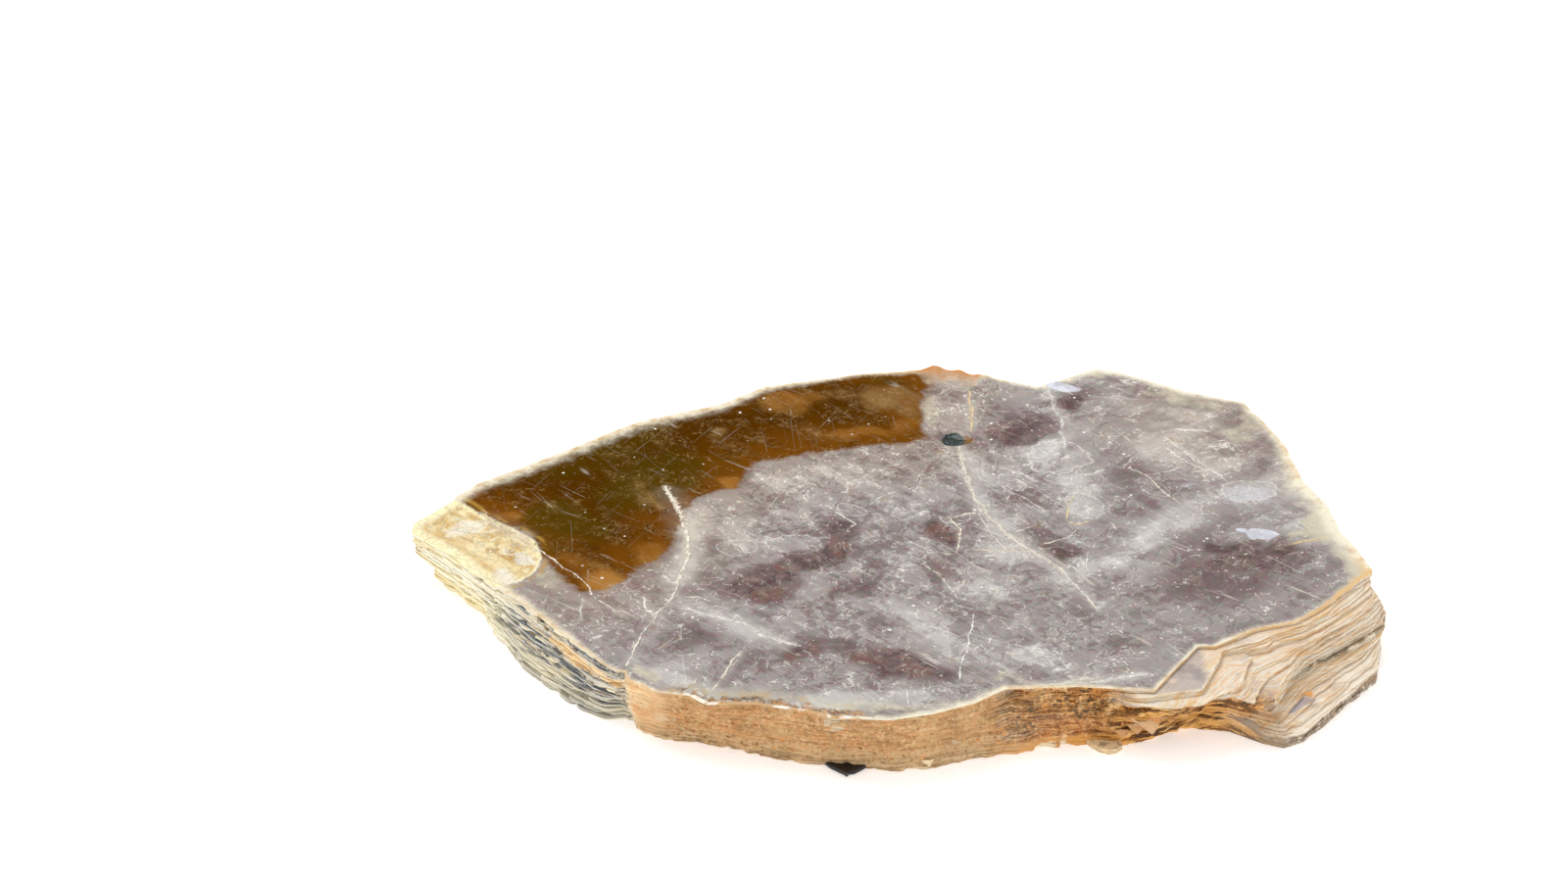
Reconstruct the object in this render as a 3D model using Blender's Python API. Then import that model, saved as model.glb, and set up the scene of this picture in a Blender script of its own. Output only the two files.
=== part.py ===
"""A book of muscovite mica: one crystal of stacked sheets, lying on a cleavage face.

Run it with blender --background --python part.py, or from Blender's text editor.
Lengths are written in millimetres and scaled to metres as the mesh is made. +Z is up, and the
origin is under the middle of the book, on the face that it rests on.
"""

import math
import random

import bpy
from mathutils import Vector, geometry, noise

MM = 0.001

# The book is about 95 mm long, 67 mm deep and 6.4 mm thick, a little thicker towards +X.
THICKNESS = 6.4
THICKENING = 0.012  # height gained for each millimetre of +X

# Outlines of the stack, counter-clockwise from the right-hand corner. The top sheets have
# broken back from the front right-hand corner, where the lower ones step out as terraces, and
# the shelf that they leave overhangs a hollow in the front.
TOP_EDGE = [
    (46.4, -7.1), (45.4, -3.5), (44.0, 0.8), (43.3, 5.4), (41.3, 10.2), (41.0, 13.4), (40.2, 17.6),
    (38.6, 22.3), (36.9, 26.4), (31.1, 29.0), (24.3, 33.4), (22.0, 34.1), (17.7, 31.6), (15.6, 30.4),
    (11.5, 32.0), (8.1, 33.3), (4.6, 34.2), (-3.0, 33.4), (-13.0, 31.0), (-17.5, 27.4),
    (-26.0, 23.8), (-34.5, 17.0), (-42.0, 11.5), (-46.3, 6.3), (-48.0, 4.4), (-48.1, 2.6),
    (-44.7, -0.8), (-37.3, -10.4), (-32.1, -17.2),
    (-28.4, -22.1), (-25.9, -24.5), (-22.9, -27.4), (-19.8, -28.1), (-18.4, -29.6), (-13.5, -29.7),
    (-9.0, -30.9), (-6.4, -32.0), (-1.2, -32.5), (2.7, -31.6), (6.7, -29.9), (9.7, -27.6),
    (16.5, -27.3), (23.6, -28.0), (25.2, -25.2), (28.3, -20.2), (29.9, -20.3), (34.0, -17.4),
    (38.0, -16.2), (41.0, -13.5), (44.1, -9.8),
]
SHELF_EDGE = [
    (47.0, -9.3), (45.2, -4.6), (44.0, 1.0), (42.6, 7.6), (41.0, 13.6), (40.0, 17.8), (38.4, 22.2),
    (36.8, 26.3), (31.0, 28.9), (24.0, 33.4), (21.8, 33.8), (17.5, 31.7), (11.3, 31.9),
    (4.5, 34.2), (-3.1, 33.6), (-13.2, 30.8), (-17.7, 27.6), (-25.6, 24.0), (-34.5, 17.3),
    (-42.2, 11.3), (-46.6, 6.2), (-48.0, 3.0), (-44.8, -0.7), (-37.7, -10.3), (-32.4, -17.2),
    (-28.8, -22.0), (-25.9, -24.3), (-22.8, -27.2), (-18.2, -29.0), (-13.6, -29.5),
    (-9.0, -30.8), (-6.4, -31.8), (-1.2, -32.3), (2.8, -31.5), (6.8, -29.9), (10.2, -27.9),
    (16.4, -27.4), (23.6, -28.0), (26.6, -28.2), (29.4, -27.2), (31.7, -27.0), (34.3, -28.7),
    (35.5, -25.2), (36.6, -22.4), (38.5, -18.8), (40.1, -17.1), (42.9, -14.5), (45.3, -11.9),
]
WAIST_EDGE = [
    (47.7, -9.2), (46.8, -5.4), (44.0, 1.4), (42.0, 8.0), (40.8, 14.0), (38.7, 21.0), (36.6, 26.2),
    (30.8, 28.8), (23.4, 33.8), (17.2, 31.8), (11.2, 31.8), (4.4, 34.2), (-3.2, 33.8),
    (-13.4, 30.6), (-25.0, 24.4), (-34.6, 17.6), (-42.4, 11.2), (-46.8, 5.8), (-47.5, 3.0),
    (-44.8, -0.6), (-41.0, -5.0), (-38.0, -10.2), (-33.0, -17.2), (-29.2, -22.0), (-26.0, -24.0),
    (-22.6, -27.0), (-18.0, -28.4), (-13.8, -29.4), (-9.0, -30.7), (-1.1, -32.0), (3.0, -31.4),
    (7.0, -29.8), (11.0, -28.2), (16.0, -27.6), (22.6, -27.8), (25.2, -26.4), (27.0, -24.7),
    (29.0, -24.0), (31.9, -24.7), (34.7, -26.3), (37.4, -20.9), (40.1, -18.2), (42.7, -15.6),
    (45.3, -13.3), (47.3, -11.4),
]
FOOT_EDGE = [
    (46.9, -12.0), (46.3, -6.8), (44.6, -1.6), (43.0, 3.6), (41.0, 9.0), (40.0, 14.6), (38.4, 20.2),
    (35.8, 25.8), (30.4, 28.0), (24.0, 32.6), (21.4, 33.2), (17.2, 30.8), (11.0, 31.2),
    (4.0, 33.2), (-3.6, 32.6), (-13.6, 29.8), (-24.4, 23.4), (-34.2, 16.6), (-41.8, 10.4),
    (-45.6, 5.4), (-46.0, 2.5), (-43.9, -0.1), (-40.4, -4.5), (-39.9, -7.2), (-38.3, -9.8),
    (-36.1, -14.4), (-33.5, -17.5), (-30.9, -20.4), (-28.0, -22.8), (-26.1, -22.5),
    (-24.2, -24.9), (-22.6, -26.1), (-18.2, -26.9), (-14.2, -28.6), (-9.0, -30.2), (-1.1, -31.3),
    (1.5, -31.5), (4.7, -29.9), (11.5, -28.4), (15.3, -27.3), (21.0, -27.0), (24.3, -25.9),
    (26.6, -24.6), (28.8, -24.3), (31.5, -24.9), (34.0, -26.8), (36.0, -27.6), (38.0, -26.6),
    (40.3, -23.8), (43.2, -19.9), (46.1, -16.3),
]
# Each outline with its depth below the top face, as a share of the thickness.
LEVELS = [(0.0, TOP_EDGE), (0.26, SHELF_EDGE), (0.52, WAIST_EDGE), (0.74, FOOT_EDGE)]

# Sheaves are the packets of sheets that have parted enough to show a ledge of their own.
SHEAVES = 10
COLUMNS = 150
LEAST_GAP = 0.8  # between neighbouring columns, at the rim
TREAD_FALL = 0.10  # how far each ledge slopes down, outwards
RAGGED = 0.45  # how far a sheaf's edge strays from the outline
CHIP_DEPTH = 0.7
CHIP_SHARE = 0.2

# Thin flakes of the lowest sheets that stick out under the front: the tip and half the width.
TOE_FLAKES = [((-5.2, -32.8), 2.1), ((19.4, -30.0), 2.3)]

# Relief of the top face.
PIT_CENTRE = (6.6, 19.4)
PIT_RADIUS = 1.7
PIT_DEPTH = 0.45
CRUST_LUMPS = [((4.9, 33.2), 1.9, 0.9), ((7.2, 32.6), 1.7, 0.6), ((9.8, 31.6), 1.8, 0.8)]
TIP_STEP = [(-39.6, -8.6), (-36.4, -6.4), (-35.0, -2.6), (-35.9, 1.6), (-36.2, 8.0), (-37.0, 16.0)]
TIP_DROP = 0.3
GROOVE = [
    (7.7, 17.1), (8.2, 12.5), (9.1, 6.3), (10.7, 2.8), (12.5, -1.0), (15.2, -4.2), (17.3, -8.4),
]
GROOVE_DEPTH = 0.14
GROOVE_WIDTH = 0.6
WARP = 0.16
GRID = 5.0
SEED = 11


def cross(a, b):
    return a[0] * b[1] - a[1] * b[0]


def reach(outline, angle):
    """How far the outline lies from the middle of the book in this direction."""
    ray = (math.cos(angle), math.sin(angle))
    for start, end in zip(outline, outline[1:] + outline[:1]):
        if cross(ray, start) <= 0 < cross(ray, end) and ray[0] * end[0] + ray[1] * end[1] > 0:
            side = (end[0] - start[0], end[1] - start[1])
            return cross(start, side) / cross(ray, side)
    raise ValueError("the outline doesn't pass round the middle")


def even_angles(outline, count):
    """The directions of points spaced evenly along an outline."""
    sides = list(zip(outline, outline[1:] + outline[:1]))
    spacing = sum(math.dist(a, b) for a, b in sides) / count
    angles = []
    carried = 0.0
    for (ax, ay), (bx, by) in sides:
        length = math.dist((ax, ay), (bx, by))
        while carried < length:
            share = carried / length
            angles.append(math.atan2(ay + (by - ay) * share, ax + (bx - ax) * share))
            carried += spacing
        carried -= length
    return angles


def directions():
    """The book's columns: one at each corner of the outlines, and evenly spaced ones between."""
    corners = [math.atan2(y, x) for x, y in TOP_EDGE]
    right_front = [(x, y) for _, edge in LEVELS[1:] for x, y in edge if x > 22 and y < -4]
    lower = [math.atan2(y, x) for x, y in right_front]
    flakes = []
    for (x, y), half in TOE_FLAKES:
        flakes += [math.atan2(y, x + shift) for shift in (0.0, -half, half, -half / 2, half / 2)]
    kept = []
    for angle in flakes + corners + lower + even_angles(TOP_EDGE, COLUMNS):
        gap = LEAST_GAP / reach(TOP_EDGE, angle)
        if all(abs(math.remainder(angle - other, math.tau)) > gap for other in kept):
            kept.append(angle)
    return sorted(kept)


def outline_reach(angle, depth):
    """The stack's own outline at a depth below the top face, as a share of the thickness."""
    for (upper, above), (lower, below) in zip(LEVELS, LEVELS[1:]):
        if depth < lower:
            share = (depth - upper) / (lower - upper)
            return reach(above, angle) * (1 - share) + reach(below, angle) * share
    return reach(FOOT_EDGE, angle)


def stray(angle, sheaf):
    """How far a sheaf's broken edge lies from the outline: wavy, with flat chips knocked off."""
    x, y = math.cos(angle), math.sin(angle)
    wave = noise.noise(Vector((x * 5.0, y * 5.0, sheaf * 3.7)))
    fine = noise.noise(Vector((x * 17.0, y * 17.0, sheaf * 5.1 + 40.0)))
    chip = noise.cell(Vector((x * 9.0 + 31.0, y * 9.0, sheaf * 2.0 + 0.5)))
    return RAGGED * (wave + 0.6 * fine) - (CHIP_DEPTH if abs(chip) % 1.0 < CHIP_SHARE else 0.0)


def toe(angle):
    """How far the flakes that only the lowest sheaf keeps stand out."""
    proud = 0.0
    for (x, y), half in TOE_FLAKES:
        tip_angle = math.atan2(y, x)
        tip_reach = math.hypot(x, y)
        across = abs(math.remainder(angle - tip_angle, math.tau)) * tip_reach
        proud += (tip_reach - reach(FOOT_EDGE, tip_angle)) * bell(across, half)
    return proud


def gap_to_path(point, path):
    """How far a point lies from a path: positive on the path's left, negative on its right."""
    best = 1e9
    for a, b in zip(path, path[1:]):
        along = (b[0] - a[0], b[1] - a[1])
        off = (point[0] - a[0], point[1] - a[1])
        share = (off[0] * along[0] + off[1] * along[1]) / (along[0] ** 2 + along[1] ** 2)
        share = min(1.0, max(0.0, share))
        gap = math.dist(off, (along[0] * share, along[1] * share))
        if gap < abs(best):
            best = math.copysign(gap, cross(along, off))
    return best


def bell(gap, radius):
    return (1 - min(1.0, gap / radius) ** 2) ** 2


def relief(x, y):
    """Height of the top face over its plane."""
    rise = WARP * noise.noise(Vector((x * 0.05, y * 0.05, 3.0)))
    for centre, radius, height in CRUST_LUMPS:
        rise += height * bell(math.dist((x, y), centre), radius)
    if math.dist((x, y), PIT_CENTRE) < PIT_RADIUS * 0.9:
        rise -= PIT_DEPTH
    if gap_to_path((x, y), TIP_STEP) > 0 and x < -30:
        rise -= TIP_DROP
    return rise - GROOVE_DEPTH * bell(abs(gap_to_path((x, y), GROOVE)), GROOVE_WIDTH)


def face_height(x, y):
    return THICKNESS + THICKENING * x + relief(x, y)


def sheaf_depths():
    """(depth of the edge's top, depth of its foot) for each sheaf, with room left for a ledge."""
    dice = random.Random(SEED)
    steps = [dice.uniform(0.6, 1.4) for _ in range(SHEAVES)]
    fall = TREAD_FALL / THICKNESS
    pairs = []
    depth = 0.0
    for step in steps:
        foot = depth + step / sum(steps)
        pairs.append((depth, foot - fall))
        depth = foot
    pairs[-1] = (pairs[-1][0], 1.0)
    return pairs


def column(angle):
    """The points of one column, from the rim of the top face down to the floor."""
    x, y = math.cos(angle), math.sin(angle)
    rim = reach(TOP_EDGE, angle)
    height = face_height(rim * x, rim * y)
    points = []
    for sheaf, (upper, lower) in enumerate(sheaf_depths()):
        wander = stray(angle, sheaf)
        out = outline_reach(angle, upper) + wander * min(1.0, sheaf * 0.4)
        if sheaf == SHEAVES - 1:
            out = reach(FOOT_EDGE, angle) + min(wander, 0.1) + toe(angle)
        for depth in (upper, lower):
            points.append((out * x, out * y, height * (1 - depth)))
    return points


def beside(path, offset):
    """A row of points along a path, this far to its left, at most 2 mm apart."""
    row = []
    for a, b in zip(path, path[1:]):
        length = math.dist(a, b)
        left = (-(b[1] - a[1]) * offset / length, (b[0] - a[0]) * offset / length)
        count = math.ceil(length / 2.0)
        for i in range(count):
            share = (i + 0.5) / count
            x = a[0] + (b[0] - a[0]) * share + left[0]
            y = a[1] + (b[1] - a[1]) * share + left[1]
            row.append((x, y))
    return row


def ring_of(centre, radius, count):
    turns = [math.tau * i / count for i in range(count)]
    return [(centre[0] + radius * math.cos(t), centre[1] + radius * math.sin(t)) for t in turns]


def feature_points():
    """Points that carry the pit, the broken tip, the groove and the crust."""
    points = ring_of(PIT_CENTRE, PIT_RADIUS, 10) + ring_of(PIT_CENTRE, PIT_RADIUS * 0.8, 10)
    points += beside(TIP_STEP, 0.12) + beside(TIP_STEP, -0.12)
    for offset in (-GROOVE_WIDTH, 0.0, GROOVE_WIDTH):
        points += beside(GROOVE, offset)
    for centre, radius, _ in CRUST_LUMPS:
        points += [centre] + ring_of(centre, radius * 0.55, 6)
    return points


def grid_points():
    """A loose grid over the whole face, which carries its gentle warp."""
    dice = random.Random(SEED + 1)
    points = []
    for row in range(-8, 9):
        for place in range(-11, 12):
            x = (place + (row % 2) / 2) * GRID + dice.uniform(-0.9, 0.9)
            y = row * GRID * 0.87 + dice.uniform(-0.9, 0.9)
            points.append((x, y))
    return points


def inside_points(rim):
    """The points of the top face that lie clear of its rim and of each other."""
    kept = []
    for points, clear, edge in ((feature_points(), 0.15, 0.45), (grid_points(), 2.2, 1.8)):
        for point in points:
            within = math.hypot(*point) < reach(TOP_EDGE, math.atan2(point[1], point[0]))
            free = all(math.dist(point, other) > clear for other in kept)
            if within and free and all(math.dist(point, spot) > edge for spot in rim):
                kept.append(point)
    return kept


def book_mesh():
    """(points, faces) of the whole book in millimetres."""
    columns = [column(angle) for angle in directions()]
    rings = len(columns[0])
    points = [point for line in columns for point in line]
    faces = []
    starts = [i * rings for i in range(len(columns))]
    for here, there in zip(starts, starts[1:] + starts[:1]):
        for ring in range(rings - 1):
            faces.append((here + ring, here + ring + 1, there + ring + 1, there + ring))
    rim = [point[0][:2] for point in columns]
    inner = inside_points(rim)
    flat = [Vector(spot) for spot in rim + inner]
    names = starts + list(range(len(points), len(points) + len(inner)))
    points += [(x, y, face_height(x, y)) for x, y in inner]
    made = geometry.delaunay_2d_cdt(flat, [], [list(range(len(rim)))], 1, 1e-6)
    for face in made[2]:
        faces.append([names[made[3][corner][0]] for corner in face])
    hub = len(points)
    points.append((0.0, 0.0, 0.0))
    for here, there in zip(starts, starts[1:] + starts[:1]):
        faces.append((there + rings - 1, here + rings - 1, hub))
    return points, faces


def centred(points):
    """The points with the middle of their box over the origin, in metres."""
    middle = [(min(p[i] for p in points) + max(p[i] for p in points)) / 2 for i in (0, 1)]
    return [((x - middle[0]) * MM, (y - middle[1]) * MM, z * MM) for x, y, z in points]


def mica_material():
    material = bpy.data.materials.new("mica")
    material.use_nodes = True
    shader = material.node_tree.nodes["Principled BSDF"]
    shader.inputs["Base Color"].default_value = (0.34, 0.27, 0.24, 1.0)
    shader.inputs["Roughness"].default_value = 0.3
    material.diffuse_color = (0.34, 0.27, 0.24, 1.0)
    return material


def main():
    for leftover in list(bpy.data.objects):
        bpy.data.objects.remove(leftover)
    points, faces = book_mesh()
    mesh = bpy.data.meshes.new("mica_book")
    mesh.from_pydata(centred(points), [], faces)
    mesh.materials.append(mica_material())
    book = bpy.data.objects.new("mica_book", mesh)
    bpy.context.scene.collection.objects.link(book)


main()
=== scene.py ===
import math
import random

import bpy
import numpy as np
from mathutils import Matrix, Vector, geometry, noise


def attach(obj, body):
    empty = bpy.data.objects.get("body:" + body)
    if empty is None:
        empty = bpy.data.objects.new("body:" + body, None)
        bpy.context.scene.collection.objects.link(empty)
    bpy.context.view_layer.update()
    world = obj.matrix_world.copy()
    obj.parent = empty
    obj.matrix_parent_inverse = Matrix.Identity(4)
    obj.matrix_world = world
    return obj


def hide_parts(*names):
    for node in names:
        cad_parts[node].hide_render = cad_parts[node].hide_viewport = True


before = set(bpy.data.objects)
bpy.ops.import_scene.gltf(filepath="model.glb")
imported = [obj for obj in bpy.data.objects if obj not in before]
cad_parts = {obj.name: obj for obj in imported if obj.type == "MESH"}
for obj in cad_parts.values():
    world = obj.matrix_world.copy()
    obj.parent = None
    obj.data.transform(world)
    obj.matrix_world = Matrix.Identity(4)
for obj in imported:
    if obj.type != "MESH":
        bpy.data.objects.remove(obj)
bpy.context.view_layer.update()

# ---------------------------------------------------------------------------------------------
# The stack of sheets. The crystal grew as thousands of parallel sheets, each thinner than a hair.
# Weather has split its edge into sheaves, packed iron-stained clay into the front, and broken
# the upper sheets back from the right-hand corner, where the lower ones step out as terraces.
# ---------------------------------------------------------------------------------------------
MM = 0.001
THICKNESS = 6.4
THICKENING = 0.012  # height gained for each millimetre of +X
PLAN_MIDDLE = np.array([-0.3767,
                        0.7704])  # the point of the plan that lies over the frame's origin

TOP_EDGE = [
    (46.4, -7.1), (45.4, -3.5), (44, 0.8), (43.3, 5.4), (41.3, 10.2), (41, 13.4), (40.2, 17.6),
    (38.6, 22.3), (36.9, 26.4), (31.1, 29), (24.3, 33.4), (22, 34.1), (17.7, 31.6), (15.6, 30.4),
    (11.5, 32), (8.1, 33.3), (4.6, 34.2), (-3, 33.4), (-13, 31), (-17.5, 27.4), (-26, 23.8),
    (-34.5, 17), (-42, 11.5), (-46.3, 6.3), (-48, 4.4), (-48.1, 2.6), (-44.7, -0.8),
    (-37.3, -10.4), (-32.1, -17.2), (-28.4, -22.1), (-25.9, -24.5), (-22.9, -27.4), (-19.8, -28.1),
    (-18.4, -29.6), (-13.5, -29.7), (-9, -30.9), (-6.4, -32), (-1.2, -32.5), (2.7, -31.6),
    (6.7, -29.9), (9.7, -27.6), (16.5, -27.3), (23.6, -28), (25.2, -25.2), (28.3, -20.2),
    (29.9, -20.3), (34, -17.4), (38, -16.2), (41, -13.5), (44.1, -9.8),
]
SHELF_EDGE = [
    (47, -9.3), (45.2, -4.6), (44, 1), (42.6, 7.6), (41, 13.6), (40, 17.8), (38.4, 22.2),
    (36.8, 26.3), (31, 28.9), (24, 33.4), (21.8, 33.8), (17.5, 31.7), (11.3, 31.9), (4.5, 34.2),
    (-3.1, 33.6), (-13.2, 30.8), (-17.7, 27.6), (-25.6, 24), (-34.5, 17.3), (-42.2, 11.3),
    (-46.6, 6.2), (-48, 3), (-44.8, -0.7), (-37.7, -10.3), (-32.4, -17.2), (-28.8, -22),
    (-25.9, -24.3), (-22.8, -27.2), (-18.2, -29), (-13.6, -29.5), (-9, -30.8), (-6.4, -31.8),
    (-1.2, -32.3), (2.8, -31.5), (6.8, -29.9), (10.2, -27.9), (16.4, -27.4), (23.6, -28),
    (26.6, -28.2), (29.4, -27.2), (31.7, -27), (34.3, -28.7), (35.5, -25.2), (36.6, -22.4),
    (38.5, -18.8), (40.1, -17.1), (42.9, -14.5), (45.3, -11.9),
]
WAIST_EDGE = [
    (47.7, -9.2), (46.8, -5.4), (44, 1.4), (42, 8), (40.8, 14), (38.7, 21), (36.6, 26.2),
    (30.8, 28.8), (23.4, 33.8), (17.2, 31.8), (11.2, 31.8), (4.4, 34.2), (-3.2, 33.8),
    (-13.4, 30.6), (-25, 24.4), (-34.6, 17.6), (-42.4, 11.2), (-46.8, 5.8), (-47.5, 3),
    (-44.8, -0.6), (-41, -5), (-38, -10.2), (-33, -17.2), (-29.2, -22), (-26, -24), (-22.6, -27),
    (-18, -28.4), (-13.8, -29.4), (-9, -30.7), (-1.1, -32), (3, -31.4), (7, -29.8), (11, -28.2),
    (16, -27.6), (22.6, -27.8), (25.2, -26.4), (27, -24.7), (29, -24), (31.9, -24.7),
    (34.7, -26.3), (37.4, -20.9), (40.1, -18.2), (42.7, -15.6), (45.3, -13.3), (47.3, -11.4),
]
FOOT_EDGE = [
    (46.9, -12), (46.3, -6.8), (44.6, -1.6), (43, 3.6), (41, 9), (40, 14.6), (38.4, 20.2),
    (35.8, 25.8), (30.4, 28), (24, 32.6), (21.4, 33.2), (17.2, 30.8), (11, 31.2), (4, 33.2),
    (-3.6, 32.6), (-13.6, 29.8), (-24.4, 23.4), (-34.2, 16.6), (-41.8, 10.4), (-45.6, 5.4),
    (-46, 2.5), (-43.9, -0.1), (-40.4, -4.5), (-39.9, -7.2), (-38.3, -9.8), (-36.1, -14.4),
    (-33.5, -17.5), (-30.9, -20.4), (-28, -22.8), (-26.1, -22.5), (-24.2, -24.9), (-22.6, -26.1),
    (-18.2, -26.9), (-14.2, -28.6), (-9, -30.2), (-1.1, -31.3), (1.5, -31.5), (4.7, -29.9),
    (11.5, -28.4), (15.3, -27.3), (21, -27), (24.3, -25.9), (26.6, -24.6), (28.8, -24.3),
    (31.5, -24.9), (34, -26.8), (36, -27.6), (38, -26.6), (40.3, -23.8), (43.2, -19.9),
    (46.1, -16.3),
]
# Each outline with its depth below the top face, as a share of the thickness.
LEVELS = [(0.0, TOP_EDGE), (0.26, SHELF_EDGE), (0.52, WAIST_EDGE), (0.74, FOOT_EDGE)]

# The broken upper sheets end as two broad panes at the front right: for each, the share of the
# depth where it starts, and its reach in millimetres by direction in degrees.
PANES = [
    (0.035, [(-52, 36.6), (-48, 37.6), (-44, 39.2), (-40.5, 38.2), (-34, 36.9)]),
    (0.13, [(-52, 37), (-45, 39.9), (-39, 40.9), (-33, 39.4), (-30, 38.6)]),
]
PANES_END = 0.19
PANE_SIDES = [(306, 0), (309, 1), (326, 1), (331, 0)]

COLUMNS = 900
SHEAVES = 30
SHEAF_WEIGHTS = (0.4, 0.6, 0.8, 1.0, 1.3, 1.9)  # their uneven thicknesses, to one another
SHEAF_SEED = 7
TOP_SHEAF = 0.05  # share of the thickness
LOWEST_SHEAF = 0.07
SPLIT = 0.05  # height of the open split between two sheaves
SHALLOWEST_SPLIT = 0.004
GNAWED = 1.5  # how deep the foot of the clay and the rust is eaten away
LIP = 0.012  # how far a sheaf's upper corner is worn down

# How the edge has weathered, by direction in degrees from +X: (direction, share).
CREAM_SPLITS = [(150, 0.2), (172, 0.9), (177, 1), (188, 1), (193, 0.35), (219, 0.25), (224, 0)]
DARK_SPLITS = [(186, 0), (192, 1), (221, 1), (224.5, 0)]
CLAY = [
    (100, 0), (112, 0.8), (140, 0.9), (160, 0), (222.5, 0), (225, 1), (286, 1), (293, 0.3),
    (307, 0.3), (314, 0),
]
RUST = [
    (70, 0), (76, 1), (90, 1), (104, 0.3), (120, 0), (284, 0), (292, 0.8), (306, 1), (321, 1),
    (325, 0),
]
TERRACES = [(2, 0), (308, 0), (313, 1), (350, 1), (356, 0.3)]
PALE_EDGE = [(62, 1), (74, 0.2), (100, 0.3), (165, 0.3), (175, 0), (350, 0), (358, 1)]


def reach(outline, angles):
    """How far the outline lies from the middle of the book, in each direction."""
    ray_x, ray_y = np.cos(angles), np.sin(angles)
    found = np.zeros(len(angles))
    for (ax, ay), (bx, by) in zip(outline, outline[1:] + outline[:1]):
        past_start = ray_x * ay - ray_y * ax <= 0
        before_end = ray_x * by - ray_y * bx > 0
        facing = ray_x * bx + ray_y * by > 0
        hit = past_start & before_end & facing
        slant = ray_x * (by - ay) - ray_y * (bx - ax)
        found[hit] = (ax * (by - ay) - ay * (bx - ax)) / slant[hit]
    return found


def lengths_along(path):
    """How far along a path each of its corners lies."""
    return np.concatenate([[0], np.cumsum(np.hypot(*np.diff(path, axis=0).T))])


def even_directions(outline, count):
    """The directions of points spaced evenly along an outline."""
    corners = np.array(outline + outline[:1])
    passed = lengths_along(corners)
    places = np.linspace(0, passed[-1], count, endpoint=False)
    x = np.interp(places, passed, corners[:, 0])
    y = np.interp(places, passed, corners[:, 1])
    return np.arctan2(y, x)


def share_at(stations, angles):
    """A share that changes with direction, from its stations round the book."""
    degrees, shares = zip(*stations)
    return np.interp(np.degrees(angles) % 360, degrees, shares, period=360)


def rough(x, y, z, size):
    """Smooth noise from about -1 to 1 at arrays of points, in lumps this many millimetres wide."""
    places = np.stack(np.broadcast_arrays(x, y, z), -1)
    flat = [noise.noise(Vector(place)) for place in places.reshape(-1, 3) / size]
    return np.array(flat).reshape(places.shape[:-1])


def ease(low, high, value):
    """0 at low and before it, 1 at high and past it, and smooth between."""
    share = np.clip((value - low) / (high - low), 0, 1)
    return share * share * (3 - 2 * share)


def gap_to_path(x, y, path):
    """How far points lie from a path, more than 0 on its left; and how far along it, in mm."""
    gap, along = np.full(np.shape(x), 1e9), np.zeros(np.shape(x))
    passed = 0.0
    for (ax, ay), (bx, by) in zip(path, path[1:]):
        length = math.dist((ax, ay), (bx, by))
        share = np.clip(((x - ax) * (bx - ax) + (y - ay) * (by - ay)) / length**2, 0, 1)
        away = np.hypot(x - ax - (bx - ax) * share, y - ay - (by - ay) * share)
        left = (bx - ax) * (y - ay) - (by - ay) * (x - ax) > 0
        nearer = away < np.abs(gap)
        gap = np.where(nearer, np.where(left, away, -away), gap)
        along = np.where(nearer, passed + share * length, along)
        passed += length
    return gap, along


# What lies high or low enough at the rim of the top face to lift or drop the whole edge there.
WARP = 0.16
TIP_STEP = [
    (-39.6, -8.6), (-36.9, -7.2), (-35.5, -5.4), (-35, -2.8), (-35.8, 0.2), (-38.4, 2.9),
    (-41.6, 5.7), (-45, 9.6), (-48, 14),
]
TIP_DROP = 0.3
CRUST_LUMPS = [((4.9, 33.2), 1.9, 0.7), ((7.2, 32.6), 1.7, 0.5), ((9.8, 31.6), 1.8, 0.6)]


def face_height(x, y):
    """Height of the top face, apart from what lies well inside its rim."""
    height = THICKNESS + THICKENING * x + WARP * rough(x, y, 60.0, 20.0)
    for (cx, cy), radius, rise in CRUST_LUMPS:
        near = 1 - np.clip(np.hypot(x - cx, y - cy) / radius, 0, 1) ** 2
        height = height + rise * near * near * (1 + 0.6 * rough(x, y, 5.0, 0.8))
    step = gap_to_path(x, y, TIP_STEP)[0]
    return height - TIP_DROP * ease(-0.1, 0.1, step) * (x < -30)


directions = even_directions(SHELF_EDGE, COLUMNS)
degrees = np.degrees(directions) % 360
ray_x, ray_y = np.cos(directions), np.sin(directions)
level_reach = [reach(outline, directions) for _, outline in LEVELS]
rim_x, rim_y = level_reach[0] * ray_x, level_reach[0] * ray_y
rim_height = face_height(rim_x, rim_y)
cream = share_at(CREAM_SPLITS, directions)
dark = share_at(DARK_SPLITS, directions)
clay = share_at(CLAY, directions)
rust = share_at(RUST, directions)
terraces = share_at(TERRACES, directions)
pale = share_at(PALE_EDGE, directions)
pane = share_at(PANE_SIDES, directions)


def stack_reach(depth):
    """The stack's outline at one depth for each direction."""
    out = level_reach[0]
    for i in range(len(LEVELS) - 1):
        upper, lower = LEVELS[i][0], LEVELS[i + 1][0]
        share = np.clip((depth - upper) / (lower - upper), 0, 1)
        out = out + (level_reach[i + 1] - level_reach[i]) * share
    first, second = [np.interp(np.degrees(directions), *zip(*stations)) for _, stations in PANES]
    last = np.clip((depth - PANES_END) / (LEVELS[1][0] - PANES_END), 0, 1)
    stepped = np.where(depth < PANES[0][0], level_reach[0], first)
    stepped = np.where(depth < PANES[1][0], stepped, second + (level_reach[1] - second) * last)
    return np.where(depth < LEVELS[1][0], out + (stepped - out) * pane, out)


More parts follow.
